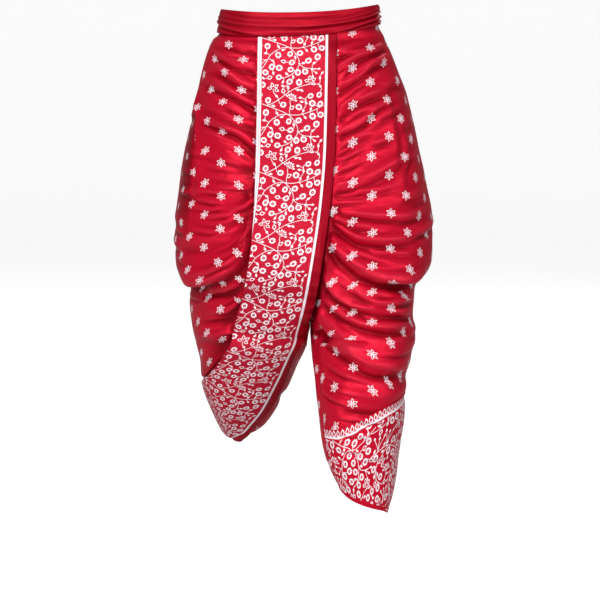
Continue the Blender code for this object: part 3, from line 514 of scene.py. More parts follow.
def oval_point(turn, rows, z):
    """Point at angle `turn` on a squared oval: reach times the cosine, depth times the
    sine, each to the power two over squareness, outer side positive."""
    outer, inner, front, back = np.moveaxis(through(rows, z), -1, 0)
    wide = (outer + inner) / 2 + (outer - inner) / 2 * bulged(np.cos(turn))
    deep = (front + back) / 2 + (back - front) / 2 * bulged(np.sin(turn))
    return wide, deep


class Leg:
    """A leg's smooth form, reached by share round it and height."""

    def __init__(self, side, rows, hem, folds, pleats, cover, hang_at, hang):
        self.side, self.rows, self.hem = side, rows, hem
        self.hang_at, self.hang = hang_at, hang
        self.folds, self.pleats, self.cover = folds, pleats, cover
        self.levels = np.linspace(rows[0][0], rows[-1][0], 140)
        self.shares = np.linspace(0, 1, SECTION_STEPS + 1)
        turn = np.linspace(-1, 1, SECTION_STEPS + 1)
        wide, deep = oval_point(self.cut(self.levels)[:, None] * turn, rows, self.levels[:, None])
        run = np.hypot(np.diff(wide, axis=1), np.diff(deep, axis=1)).cumsum(axis=1)
        run = np.concatenate([np.zeros((len(run), 1)), run], axis=1)
        self.turns = np.stack([np.interp(self.shares, r / r[-1], turn) for r in run])
        self.girths = run[:, -1]

    def cut(self, z):
        """Angle at which the oval meets the seam plane; a half turn once it is closed."""
        outer, inner = np.moveaxis(through(self.rows, z)[..., :2], -1, 0)
        seam = self.side * through(SEAM_ROWS, z)[..., 0]
        share = np.clip(((outer + inner) / 2 - seam) / ((outer - inner) / 2), -0.99999, 0.99999)
        return np.arccos(-unbulged(share))

    def turn(self, s, z):
        """Angle at share s of the way round, from the arc lengths of the sections."""
        return read_table(self.levels, self.shares, self.turns, z, s)

    def girth(self, z):
        """Length round the open section at a height."""
        return np.interp(z, self.levels, self.girths)

    def ends(self, z):
        """Depths of the front and back seams."""
        cut = self.cut(z)
        return [oval_point(k * cut, self.rows, z)[1] for k in (-1, 1)]


def read_table(rows, cols, table, at_row, at_col):
    """Reads a table between its rows and columns, in straight lines."""
    i = np.interp(at_row, rows, np.arange(len(rows)))
    j = np.interp(at_col, cols, np.arange(len(cols)))
    i0, j0 = np.minimum(i.astype(int), len(rows) - 2), np.minimum(j.astype(int), len(cols) - 2)
    fi, fj = i - i0, j - j0
    if table.ndim == 3:
        fi, fj = fi[..., None], fj[..., None]
    low = (1 - fj) * table[i0, j0] + fj * table[i0, j0 + 1]
    high = (1 - fj) * table[i0 + 1, j0] + fj * table[i0 + 1, j0 + 1]
    return (1 - fi) * low + fi * high


# Side, form, hem, folds, upright folds, cover and hanging lines of each leg.
LEG_TABLES = {
    "right": (-1, RIGHT_ROWS, RIGHT_HEM, RIGHT_FOLDS, RIGHT_PLEATS, RIGHT_COVER, *RIGHT_LINES),
    "left": (1, LEFT_ROWS, LEFT_HEM, LEFT_FOLDS, LEFT_PLEATS, LEFT_COVER, *LEFT_LINES),
}


@functools.cache
def leg(name):
    """The right or left leg's form, worked out once."""
    return Leg(*LEG_TABLES[name])


def smooth_leg(one, s, z):
    """Leg form with no folds; front and back seam depths are shared above the crotch."""
    s, z = np.broadcast_arrays(s, z)
    wide, deep = oval_point(one.cut(z) * one.turn(s, z), one.rows, z)
    both = [leg(name).ends(z) for name in ("right", "left")]
    mine = one.ends(z)
    open_share = ease((z - CROTCH_BOTTOM) / CROTCH_FADE)
    for k, near in ((0, s), (1, 1 - s)):
        shared = (both[0][k] + both[1][k]) / 2
        deep = deep + (shared - mine[k]) * ease(1 - near / SEAM_REACH) * open_share
    return np.stack([one.side * wide, deep, z], axis=-1)


def out_of_leg(one, s, z):
    """Unit outward direction of the smooth leg: across crossed with up."""
    s, z = np.broadcast_arrays(s, z)
    before, after = np.clip(s - PROBE, 0, 1), np.clip(s + PROBE, 0, 1)
    across = smooth_leg(one, after, z) - smooth_leg(one, before, z)
    up = smooth_leg(one, s, z + PROBE) - smooth_leg(one, s, z - PROBE)
    return unit(np.cross(across, up) * one.side)


def fold_profile(d, above, below, hollow, peak):
    """Cross-section of a fold: a bell to the power `peak`, less a hollow two spreads under
    its crest."""
    ridge = np.exp(-(np.abs(d / np.where(d > 0, above, below)) ** peak))
    trough = np.exp(-np.square((d + 2.0 * below) / (HOLLOW_SPREAD * below)))
    return ridge - HOLLOW_DEPTH * hollow * trough


def creases_height(one, s, z):
    """Sum of small creases along the hanging lines: each starts at a seeded place, is some
    share of the way round long, fades at both ends and varies in height and spread."""
    draw = np.random.default_rng(CREASE_SEED + one.side)
    lines = np.arange(len(one.hang))
    total = np.zeros(s.shape)
    for count, first, last, length, height, spread in CREASES:
        for k in range(count):
            line = (k + draw.uniform(*CREASE_PLACES)) / count * (len(one.hang) - 1)
            start = one.hang_at[0] - CREASE_LEAD + draw.uniform(first, last)
            end = start + length * draw.uniform(*CREASE_LENGTHS)
            tall = height * draw.uniform(*CREASE_HEIGHTS)
            wide = spread * draw.uniform(*CREASE_SPREADS)
            tilt = draw.uniform(*CREASE_TILTS)
            near = (s > start) & (s < end)
            sn, zn = s[near], z[near]
            crest = read_table(lines, one.hang_at, one.hang, np.full(sn.shape, line), sn)
            d = zn - (crest + tilt * (sn - start))
            run = (sn - start) / (end - start)
            fade = ease(run / CREASE_FADE_IN) * ease((1 - run) / CREASE_FADE_OUT)
            total[near] += tall * fade * fold_profile(d, wide, wide * CREASE_BELOW,
                                                      CREASE_HOLLOW, CREASE_PEAK)
    return total


def folds_height(one, s, z):
    """Sum of the folds over their crest lines, each measured square to its crest and
    varied a little in height and place, held down under the panel's edge."""
    s, z = np.broadcast_arrays(s, z)
    warp = CREST_WANDER * unevenness(s, z, WANDER_RATES, 3 + one.side)
    total = np.zeros(s.shape)
    for k, (height, above, below, hollow, peak, fade_in, fade_out, line) in enumerate(one.folds):
        line = milli(*line).reshape(-1, 2)
        begin, end = line[0, 0], line[-1, 0]
        near = (s > begin) & (s < end)
        sn, zn = s[near], z[near]
        crest = through(line, sn)[..., 0]
        rise = through(line, sn + PROBE)[..., 0] - through(line, sn - PROBE)[..., 0]
        slope = rise / (2 * PROBE * LEG_GIRTH)
        d = (zn - crest + warp[near]) / np.sqrt(1 + slope * slope)
        fade = ease((sn - begin) / fade_in) * ease((end - sn) / fade_out)
        uneven = 1 + CREST_UNEVEN * unevenness(sn, zn, UNEVEN_RATES, 40 + k)
        total[near] += height * fade * uneven * fold_profile(d, above, below, hollow, peak)
    for height, front, back, hollow, fade_top, fade_foot, line in one.pleats:
        line = milli(*line).reshape(-1, 2)
        top, foot = line[0, 0], line[-1, 0]
        near = (z < top) & (z > foot)
        sn, zn = s[near], z[near]
        d = through(line, zn)[..., 0] - sn + PLEAT_WANDER * warp[near]
        fade = ease((top - zn) / fade_top) * ease((zn - foot) / fade_foot)
        total[near] += height * fade * fold_profile(d, front, back, hollow, PLEAT_PEAK)
    hem = through(one.hem, s)[..., 0]
    total += SWELL * unevenness(s, z, SWELL_RATES, 7 + one.side) * ease((z - hem) / SWELL_RISE)
    total = total * FOLD_SCALE + creases_height(one, s, z)
    return total * ease((s - through(one.cover, z)[..., 0] + COVER_LEAD) / COVER_RISE)


def band_height(angle, columns):
    """Middle plus tilts by cosine and sine plus a rise at both sides."""
    middle, tilt, back, sides = columns
    return middle + tilt * np.cos(angle) + back * np.sin(angle) + sides * np.cos(angle) ** 2


def band_angle(points):
    """Angle on the band's oval at which a point stands."""
    x, y = points[..., 0] / BAND_REACH, points[..., 1] / BAND_DEPTH
    return np.arctan2(unbulged(y), unbulged(x))


def leg_height(one, s, v):
    """Height at share v of the way from the tucked top down to the hem."""
    angle = band_angle(smooth_leg(one, s, np.full(np.shape(s), -0.015)))
    top = band_height(angle, BAND_FOOT) + TUCK
    return top + (through(one.hem, s)[..., 0] - top) * v


def leg_point(one, s, z, lift=0.0):
    """Leg surface: smooth form moved out by the folds and by `lift`."""
    height = folds_height(one, s, z) * ease((FOLDS_FROM - z) / FOLDS_RISE) + lift
    return smooth_leg(one, s, z) + height[..., None] * out_of_leg(one, s, z)


# ---- mesh building
def put_mesh(name, points, faces, uv, slots, materials, painted_shading=None):
    """Object from whole arrays: points, faces of one size, a UV for each point, the material of
    each face, and, where it is given, the painted shading of each point: a painted highlight where
    it stands out on a fold and painted shade where it sinks.
    The object stays at the origin."""
    faces = np.asarray(faces, np.int32)
    size = faces.shape[1]
    mesh = bpy.data.meshes.new(name)
    mesh.vertices.add(len(points))
    mesh.vertices.foreach_set("co", np.ascontiguousarray(points, np.float32).ravel())
    mesh.loops.add(faces.size)
    mesh.loops.foreach_set("vertex_index", faces.ravel())
    mesh.polygons.add(len(faces))
    mesh.polygons.foreach_set("loop_start", np.arange(len(faces), dtype=np.int32) * size)
    mesh.polygons.foreach_set("loop_total", np.full(len(faces), size, np.int32))
    mesh.polygons.foreach_set("material_index", np.asarray(slots, np.int32))
    mesh.polygons.foreach_set("use_smooth", np.ones(len(faces), bool))
    mesh.update(calc_edges=True)
    mesh.validate()
    layer = mesh.uv_layers.new(name="flat_cloth")
    layer.data.foreach_set("uv", np.ascontiguousarray(uv[faces.ravel()], np.float32).ravel())
    if painted_shading is not None:
        layer = mesh.attributes.new("painted_fold_shading", "FLOAT", "POINT")
        layer.data.foreach_set("value", painted_shading.astype(np.float32))
    for material in materials:
        mesh.materials.append(material)
    return put_object(name, mesh)


def put_object(name, data):
    """Object in the scene with the given mesh, light or camera."""
    obj = bpy.data.objects.new(name, data)
    bpy.context.scene.collection.objects.link(obj)
    return obj


def grid_faces(rows, cols, around):
    """Squares of a grid of points as four point numbers each."""
    across = cols if around else cols - 1
    i, j = np.meshgrid(np.arange(rows - 1), np.arange(across), indexing="ij")
    k = (j + 1) % cols
    quads = np.stack([i * cols + j, i * cols + k, (i + 1) * cols + k, (i + 1) * cols + j], -1)
    return quads.reshape(-1, 4)


def rim_faces(outer, inner):
    """Joins two open or closed edges of equal length by squares."""
    return np.stack([outer[1:], outer[:-1], inner[:-1], inner[1:]], -1)


def normals_of(points, around, outward):
    """Unit normals of a grid that look outward: down crossed with across."""
    if around:
        across = np.roll(points, -1, 1) - np.roll(points, 1, 1)
    else:
        across = np.gradient(points, axis=1)
    n = unit(np.cross(np.gradient(points, axis=0), across))
    return -n if (n * outward).sum() < 0 else n


def smoothed(values, reach, axis):
    """Running mean over `reach` neighbours each way along one axis."""
    ends = [np.repeat(np.take(values, [k], axis), reach, axis) for k in (0, -1)]
    total = np.cumsum(np.concatenate([ends[0], values, ends[1]], axis), axis)
    total = np.concatenate([np.zeros_like(np.take(total, [0], axis)), total], axis)
    wide, count = 2 * reach + 1, values.shape[axis]
    late, early = np.arange(wide, wide + count), np.arange(count)
    return (np.take(total, late, axis) - np.take(total, early, axis)) / wide


def shell(name, outer, outward, wall, uv, material, shading_reach, around=False, extra_painted_shade=0.0):
    """Closed cloth: the outer grid, an inner grid set in by the wall along the true normals, and
    rims between their edges. The painted shading of a point is how far it stands out of the mean of
    the rows near it, a painted highlight where it stands out and painted shade where it sinks, plus
    a given painted shade where it is tucked away; the shading reach holds how many rows, and how
    far out counts as one. The inner face takes the opposite painted shading."""
    rows, cols = outer.shape[:2]
    n = normals_of(outer, around, outward)
    shading_rows, shading_depth = shading_reach
    # Painted highlight where a point stands out of its neighbouring rows, painted shade where it
    # sinks, plus the given painted shade.
    painted_shading = ((outer - smoothed(outer, shading_rows, 0)) * n).sum(-1) / shading_depth
    painted_shading = np.clip(painted_shading + extra_painted_shade, -1, 1).ravel()
    points = np.concatenate([outer.reshape(-1, 3), (outer - wall * n).reshape(-1, 3)])
    step = rows * cols
    front = grid_faces(rows, cols, around)
    faces = [front, front[:, ::-1] + step]
    number = np.arange(step).reshape(rows, cols)
    top, foot = number[0], number[-1]
    if around:
        top, foot = np.append(top, top[0]), np.append(foot, foot[0])
    faces += [rim_faces(top, top + step), rim_faces(foot, foot + step)[:, ::-1]]
    if not around:
        left, right = number[:, 0], number[:, -1]
        faces += [rim_faces(left, left + step)[:, ::-1], rim_faces(right, right + step)]
    faces = np.concatenate(faces)
    p = points[front]
    turned = np.cross(p[:, 1] - p[:, 0], p[:, 3] - p[:, 0])
    if (turned * n.reshape(-1, 3)[front[:, 0]]).sum() < 0:
        faces = faces[:, ::-1]
    uv = np.tile(uv.reshape(-1, 2), (2, 1))
    painted_shading = np.append(painted_shading, -painted_shading)
    return put_mesh(name, points, faces, uv, np.zeros(len(faces)), [material], painted_shading)


def dress(piece, node):
    """Hides the frame's matching part and ties a cloth piece to the frame."""
    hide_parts(node)
    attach(piece, BODY)


# ---- satin and print
class Signal:
    """A number inside a material: sums, products and functions of signals are Math nodes."""

    def __init__(self, tree, socket):
        self.tree, self.socket = tree, socket

    def math(self, operation, *others):
        """One Math node on this signal and up to two others."""
        node = self.tree.nodes.new("ShaderNodeMath")
        node.operation = operation
        for k, value in enumerate((self, *others)):
            if isinstance(value, Signal):
                self.tree.links.new(value.socket, node.inputs[k])
            else:
                node.inputs[k].default_value = value
        return Signal(self.tree, node.outputs[0])

    def __add__(self, other):
        return self.math("ADD", other)

    def __sub__(self, other):
        return self.math("SUBTRACT", other)

    def __mul__(self, other):
        return self.math("MULTIPLY", other)

    def __truediv__(self, other):
        return self.math("DIVIDE", other)

    def within(self, width):
        """One where the signal is between minus and plus the width."""
        return self.math("ABSOLUTE").math("LESS_THAN", width)


def set_sockets(node, **values):
    """Sets a node's sockets by name, with low lines for spaces."""
    for key, value in values.items():
        node.inputs[key.replace("_", " ")].default_value = value
    return node


def texture(tree, kind, vector, **values):
    """A texture node's first output on a vector, with its sockets set by name."""
    node = set_sockets(tree.nodes.new(kind), **values)
    tree.links.new(vector, node.inputs["Vector"])
    return node.outputs["Fac"]


def stretched_noise(tree, source, scale):
    """Noise on a vector that a Mapping node stretches."""
    node = set_sockets(tree.nodes.new("ShaderNodeMapping"), Scale=scale)
    tree.links.new(source, node.inputs["Vector"])
    return texture(tree, "ShaderNodeTexNoise", node.outputs["Vector"], Scale=1.0, Detail=2.0)


def new_material(name, **values):
    """A material with nodes, its tree and its shader, whose sockets are set by name."""
    material = bpy.data.materials.new(name)
    material.use_nodes = True
    tree = material.node_tree
    return material, tree, set_sockets(tree.nodes["Principled BSDF"], **values)


def flat_measures(tree):
    """The cloth's own flat measures."""
    uv = tree.nodes.new("ShaderNodeUVMap")
    uv.uv_map = "flat_cloth"
    return uv.outputs["UV"]


def add_bump(tree, shader, height, distance):
    """Bump of a height signal on a shader."""
    bump = set_sockets(tree.nodes.new("ShaderNodeBump"), Strength=1.0, Distance=distance)
    tree.links.new(height, bump.inputs["Height"])
    tree.links.new(bump.outputs["Normal"], shader.inputs["Normal"])


def star_print(tree, uv, pitch, drop, radius, stroke):
    """Half-drop lattice of six-petalled stars on the flat cloth.

    Columns stand a pitch apart and stars a drop apart in them, every other column half a
    drop lower. In a star the angle is folded into one twelfth, so that each petal is a
    pointed leaf whose half width is a sine of the way along it; its outline is white, with
    a small ring at the middle. Gives the white share and the share inside the petals.
    """
    split = tree.nodes.new("ShaderNodeSeparateXYZ")
    tree.links.new(uv, split.inputs[0])
    across, down = Signal(tree, split.outputs[0]), Signal(tree, split.outputs[1])
    column = (across / pitch).math("ROUND")
    odd = column.math("PINGPONG", 1.0)
    x = across - column * pitch
    row = (down / drop - odd * 0.5).math("ROUND")
    y = down - (row + odd * 0.5) * drop
    reach = (x * x + y * y).math("SQRT")
    angle = x.math("ARCTAN2", y)
    folded = (angle.math("WRAP", math.pi / 6, -math.pi / 6)).math("ABSOLUTE")
    along = reach * folded.math("COSINE")
    side = reach * folded.math("SINE")
    start, length = radius * PETAL_START, radius * PETAL_LENGTH
    share = ((along - start) / length).math("MAXIMUM", 0.0).math("MINIMUM", 1.0)
    half = (share.math("POWER", 0.85) * math.pi).math("SINE") * (radius * PETAL_HALF)
    outline = (side - half).within(stroke * 0.5)
    inside = side.math("LESS_THAN", half)
    ring = (reach - radius * STAR_RING).within(stroke * 0.42)
    limit = reach.math("LESS_THAN", radius * 1.05)
    beyond = along.math("GREATER_THAN", start * 0.6)
    white = (outline * limit * beyond).math("MAXIMUM", ring)
    return white, inside * limit * beyond


def blend(tree, factor, first, second):
    """Mix of two colours, each a socket or a fixed value."""
    mix = tree.nodes.new("ShaderNodeMix")
    mix.data_type = "RGBA"
    tree.links.new(factor, mix.inputs["Factor"])
    for slot, colour in (("A", first), ("B", second)):
        if isinstance(colour, bpy.types.NodeSocket):
            tree.links.new(colour, mix.inputs[slot])
        else:
            mix.inputs[slot].default_value = colour
    return mix.outputs["Result"]


def scaled(colour, share):
    """Colour with its red, green and blue times a share."""
    return tuple(min(c * share, 1.0) for c in colour[:3]) + (1.0,)


def satin(name, colour, roughness, crinkle, stars=None, white=None):
    """Satin: red ground with slow cloudy changes in its red, painted shade in the valleys of folds
    and a painted highlight on their crests, fine diagonal weave, soft crinkles in the bump and a
    tinted gloss, with stars printed on it where they are asked for."""
    material, tree, shader = new_material(
        name, IOR=1.28, Specular_IOR_Level=0.30, Specular_Tint=(1.0, 0.55, 0.62, 1.0))
    place = tree.nodes.new("ShaderNodeTexCoord").outputs["Object"]
    uv = flat_measures(tree)
    # Painted shading read from the mesh: painted shade mixed into the ground in fold valleys, a
    # painted highlight on fold crests.
    fold = tree.nodes.new("ShaderNodeAttribute")
    fold.attribute_name = "painted_fold_shading"
    painted_shading = Signal(tree, fold.outputs["Fac"])
    cloudy = texture(tree, "ShaderNodeTexNoise", place, Scale=9.0, Detail=2.0, Roughness=0.5)
    ground = blend(tree, cloudy, scaled(colour, 1 - CLOUDS), scaled(colour, 1 + CLOUDS))
    ground = blend(tree, (painted_shading.math("MAXIMUM", 0.0) * CREST_HIGHLIGHT).socket, ground, HIGHLIGHT_RED)
    ground = blend(tree, (painted_shading.math("MINIMUM", 0.0) * -VALLEY_SHADE).socket, ground, SHADE_RED)
    rough = Signal(tree, cloudy) * 0.10 + (roughness - 0.05)
    if stars:
        lines, petals = star_print(tree, uv, *stars)
        ground = blend(tree, (petals * PETAL_TINT).socket, ground, white)
        ground = blend(tree, lines.socket, ground, white)
        rough = rough + lines * 0.12
        gloss = (lines * -1.0 + 1.0) * GLOSS
        tree.links.new(gloss.socket, shader.inputs["Metallic"])
    else:
        shader.inputs["Metallic"].default_value = GLOSS
    tree.links.new(ground, shader.inputs["Base Color"])
    tree.links.new(rough.socket, shader.inputs["Roughness"])
    weave = texture(tree, "ShaderNodeTexWave", uv, Scale=900.0, Distortion=0.6, Detail=1.0)
    relief = (
        Signal(tree, stretched_noise(tree, place, (26, 26, 62))) * crinkle
        + Signal(tree, stretched_noise(tree, place, (90, 90, 170))) * (crinkle * 0.22)
        + Signal(tree, weave) * 0.00003
    )
    add_bump(tree, shader, relief.socket, 1.0)
    return material


def print_ink(name, colour):
    """Printed white: matt ink with the weave showing through as a fine bump and shade."""
    material, tree, shader = new_material(name, Roughness=0.55)
    worn = stretched_noise(tree, flat_measures(tree), (420, 420, 1))
    tree.links.new(blend(tree, worn, scaled(colour, 0.90), colour), shader.inputs["Base Color"])
    add_bump(tree, shader, worn, 0.0002)
    return material


# ---- vine print shapes
def turned(shape, angle, at=(0.0, 0.0)):
    """A flat shape turned by an angle and moved."""
    c, s = facing(angle)
    return shape @ np.array([[c, s], [-s, c]]) + at


def blossom(at, angle, size):
    """Round ring with pointed tips: radius plus narrow bells at five angles; a red eye
    with a dot in it."""
    a = np.linspace(0, 2 * math.pi, 30, endpoint=False)
    tips = np.zeros(len(a))
    for where, tall in ((0, 0.34), (0.72, 0.24), (-0.72, 0.24), (2.5, 0.14), (-2.5, 0.14)):
        gap = (a - where + math.pi) % (2 * math.pi) - math.pi
        tips += tall * np.exp(-np.square(gap / 0.15))
    radius = size * (1 + tips)
    rim = np.stack([radius * np.cos(a), radius * np.sin(a)], -1)
    b = np.linspace(0, 2 * math.pi, 12, endpoint=False)
    eye = np.stack([np.cos(b), 0.94 * np.sin(b)], -1) * size * 0.54
    dot = np.stack([np.cos(b[::3]), np.sin(b[::3])], -1) * size * 0.15
    return [(turned(shape, angle, at), ink) for shape, ink in ((rim, 1), (eye, 0), (dot, 1))]


def leaf_outline(length, width, count=14):
    """Pointed drop: half width is a skewed sine of the way along."""
    t = np.linspace(0, 1, count // 2 + 1)
    half = width / 2 * np.sin(math.pi * t ** 0.72)
    upper = np.stack([t * length, half], -1)
    return np.concatenate([upper, upper[-2:0:-1] * [1, -1]])


def ring_leaf(at, angle, length, width):
    """Hollow leaf: a drop with a red drop inside it."""
    rim = leaf_outline(length, width)
    eye = leaf_outline(length * 0.60, width * 0.56, 10) + [length * 0.17, 0]
    return [(turned(rim, angle, at), 1), (turned(eye, angle, at), 0)]


def bud(at, angle, length, width):
    """Solid drop."""
    return [(turned(leaf_outline(length, width, 10), angle, at), 1)]


def stalk(points, wide, thin):
    """Strip along a path, its width running from wide to thin."""
    points = np.asarray(points)
    along = unit(np.gradient(points, axis=0))
    side = np.stack([-along[:, 1], along[:, 0]], -1)
    half = np.linspace(wide, thin, len(points))[:, None] / 2
    return [(np.concatenate([points + side * half, (points - side * half)[::-1]]), 1)]


def curve(start, lead, end, arrive, steps):
    """Cubic curve that leaves along `lead` and arrives along `arrive`."""
    t = np.linspace(0, 1, steps)[:, None]
    r = 1 - t
    near, far = start + lead, end - arrive
    return r ** 3 * start + 3 * t * r ** 2 * near + 3 * t * t * r * far + t ** 3 * end


def burst(at, angle, size):
    """Fan of stalks with a drop at each end."""
    shapes = []
    for k, turn in enumerate(np.linspace(-1.25, 1.25, 7)):
        reach = size * (1.0, 0.86)[k % 2]
        way = facing(angle + turn)
        start = at + way * size * 0.12
        path = [start + way * reach * share for share in (0.0, 0.33, 0.62)]
        shapes += stalk(path, *BURST_STALK)
        shapes += bud(start + way * reach * 0.52, angle + turn, size * 0.42, size * 0.26)
    return shapes


def smooth_path(points):
    """Catmull-Rom curve through points: each span leaves and arrives along the line
    between its neighbours."""
    p = np.reshape(points, (-1, 2))
    p = np.concatenate([2 * p[:1] - p[1:2], p, 2 * p[-1:] - p[-2:-1]])
    a, b, c, d = p[:-3], p[1:-2], p[2:-1], p[3:]
    t = np.linspace(0, 1, 9, endpoint=False)[:, None, None]
    spans = b + 0.5 * t * (c - a + t * (2 * a - 5 * b + 4 * c - d + t * (3 * b - a - 3 * c + d)))
    return np.concatenate([spans.transpose(1, 0, 2).reshape(-1, 2), p[-2:-1]])


def cluster(at, angle, size):
    """Four hollow leaves in a wide fan about a point."""
    shapes = []
    for swing in (-105.0, -38.0, 32.0, 98.0):
        turn = math.radians(angle + swing)
        shapes += ring_leaf(at + facing(turn) * size * 0.30, turn, size, size * 0.72)
    return shapes


def vine(width, period, seed):
    """One repeat of a vine, endless down its length.

    A main stem sweeps across and back with side stems, fans, bursts and leaf clusters set
    by the tables. Flowers, leaves and buds are dropped where there is room, by seeded
    trials that keep a spacing, and each grows from a stem on a long curved stalk. Gives
    stalks first and motifs after, in painting order.
    """
    draw = np.random.default_rng(seed)
    scale = np.array([width, period])
    stalks, motifs, joints, leads = [], [], [], []
    placed, rooms, wanted = [], [], []

    def grow(path, wide, thin):
        """Draws a stem that later stalks may leave from."""
        stalks.extend(stalk(path, wide, thin))
        joints.append(path)
        leads.append(unit(np.gradient(path, axis=0)))

    def keep(at, room):
        """Keeps room about a motif."""
        placed.append(at)
        rooms.append(room)

    def gap(p, q):
        """Distances between places, the shorter way round the repeat."""
        d = np.abs(np.atleast_2d(q) - p)
        d[:, 1] = np.minimum(d[:, 1] % period, period - d[:, 1] % period)
        return np.hypot(d[:, 0], d[:, 1])

    for stem in VINE_STEMS:
        grow(smooth_path(stem) * scale, *STEM)
    for x, y, heading, spread, count, reach in VINE_FANS:
        root = np.array([x, y]) * scale
        for k, turn in enumerate(np.linspace(-spread, spread, count)):
            angle = math.radians(heading + turn)
            lead = turned(np.array([[1.0, 0.0]]), math.radians(heading + turn * 0.2))[0]
            way = facing(angle)
            tip = root + way * reach * (1.0, 0.84)[k % 2]
            path = curve(root, lead * reach * 0.45, tip, way * reach * 0.3, 7)
            stalks.extend(stalk(path, *FAN_STALK))
            motifs.extend(bud(tip - way * 0.001, angle, *FAN_BUD))
            keep(tip + way * 0.002, FAN_ROOM)
            keep(root + way * reach * 0.5, STALK_ROOM)
    for x, y, degrees in VINE_BURSTS:
        at, angle = np.array([x, y]) * scale, math.radians(degrees)
        motifs.extend(burst(at, angle, BURST))
        keep(at + 0.004 * facing(angle), WIDE_ROOM)
        wanted.append(("fixed", at, angle))
    for x, y, degrees in VINE_CLUSTERS:
        at = np.array([x, y]) * scale
        motifs.extend(cluster(at, degrees, CLUSTER))
        keep(at, WIDE_ROOM)
        wanted.append(("fixed", at, math.radians(degrees)))
    stems = np.concatenate(joints)
    for kind, count, room, clear in VINE_TRIALS:
        made = tries = 0
        while made < count and tries < TRIES:
            tries += 1
            p = np.array([draw.uniform(0.003, width - 0.003), draw.uniform(0, period)])
            if gap(p, stems).min() < clear:
                continue
            if (gap(p, np.array(placed)) < (np.array(rooms) + room) / 2).any():
                continue
            keep(p, room)
            wanted.append((kind, p, None))
            made += 1
    wanted.sort(key=lambda item: gap(item[1], stems).min())
    for kind, p, aim in wanted:
        known, ways = np.concatenate(joints), np.concatenate(leads)
        known = np.concatenate([known + [0, shift] for shift in (-period, 0, period)])
        ways = np.tile(ways, (3, 1))
        away = np.linalg.norm(known - p, axis=1)
        toward = ((p - known) * ways).sum(1) / np.maximum(away, 1e-6)
        best = np.argmin(np.maximum(away, 0.008) * (1.6 - 0.6 * toward))
        q, lead = known[best], ways[best]
        far = away[best]
        heading = (p - q) / far
        arrive = turned(heading[None], draw.uniform(-0.7, 0.7))[0]
        if aim is not None:
            arrive = facing(aim)
        end = p - arrive * STALK_ENDS[kind]
        grow(curve(q, lead * far * 0.46, end, arrive * far * 0.36, 11), *MOTIF_STALK)
        angle = math.atan2(arrive[1], arrive[0])
        if kind == "flower":
            motifs.extend(blossom(p, angle, draw.uniform(*FLOWERS)))
        elif kind == "leaf":
            motifs.extend(ring_leaf(p - arrive * 0.003, angle, *LEAF))
        elif kind == "bud":
            motifs.extend(bud(p - arrive * 0.002, angle, draw.uniform(*BUD_LENGTHS), BUD_WIDTH))
    return stalks + motifs


def inside(loop, points):
    """Even-odd test: a point is inside where a level line from it crosses the loop an odd
    number of times."""
    x, y = points[:, 0][:, None], points[:, 1][:, None]
    ax, ay = loop[:, 0], loop[:, 1]
    bx, by = np.roll(ax, -1), np.roll(ay, -1)
    level = (ay > y) != (by > y)
    tall = np.where(by == ay, 1.0, by - ay)
    return ((level & (x < (bx - ax) * (y - ay) / tall + ax)).sum(1) % 2).astype(bool)


def cut_and_print(edge, shapes, step):
    """Flat cloth as triangles: a Delaunay net over the cut edge, a grid of points and the
    print's outlines. Later shapes cover earlier ones, and each is white or ground.
    Gives flat points, triangles and the ink of each triangle."""
    low, high = edge.min(0), edge.max(0)
    kept = [(s, ink) for s, ink in shapes if (s.max(0) > low).all() and (s.min(0) < high).all()]
    x = np.arange(low[0] + step * 0.5, high[0], step)
    y = np.arange(low[1] + step * 0.5, high[1], step * 0.87)
    gx, gy = np.meshgrid(x, y)
    gx = gx + (np.arange(len(y)) % 2)[:, None] * step * 0.5
    net = np.stack([gx.ravel(), gy.ravel()], -1)
    loops = [edge] + [s for s, _ in kept]
    counts = [len(loop) for loop in loops]
    starts = np.cumsum([0] + counts)
    rings = [np.arange(n) for n in counts]
    lines = [np.stack([ring, (ring + 1) % len(ring)], -1) + a for ring, a in zip(rings, starts)]
    flat = np.concatenate(loops + [net]) * NET_SCALE
    result = geometry.delaunay_2d_cdt(
        [Vector(p) for p in flat.tolist()], np.concatenate(lines).tolist(), [], 0, 1e-4, False)
    points = np.array([(p.x, p.y) for p in result[0]]) / NET_SCALE
    faces = np.array(result[2])
    corner = points[faces]
    area = np.cross(corner[:, 1] - corner[:, 0], corner[:, 2] - corner[:, 0])
    faces[area < 0] = faces[area < 0][:, ::-1]
    centre = corner.mean(1)
    keep = inside(edge, centre) & (np.abs(area) > 1e-13)
    faces, centre = faces[keep], centre[keep]
    order = np.argsort(centre[:, 1])
    faces, centre = faces[order], centre[order]
    ink = np.zeros(len(faces), int)
    for shape, colour in kept:
        first, last = np.searchsorted(centre[:, 1], (shape[:, 1].min(), shape[:, 1].max()))
        part = np.arange(first, last)
        part = part[(centre[part, 0] > shape[:, 0].min()) & (centre[part, 0] < shape[:, 0].max())]
        ink[part[inside(shape, centre[part])]] = colour
    used, faces = np.unique(faces, return_inverse=True)
    return points[used], faces.reshape(-1, 3), ink


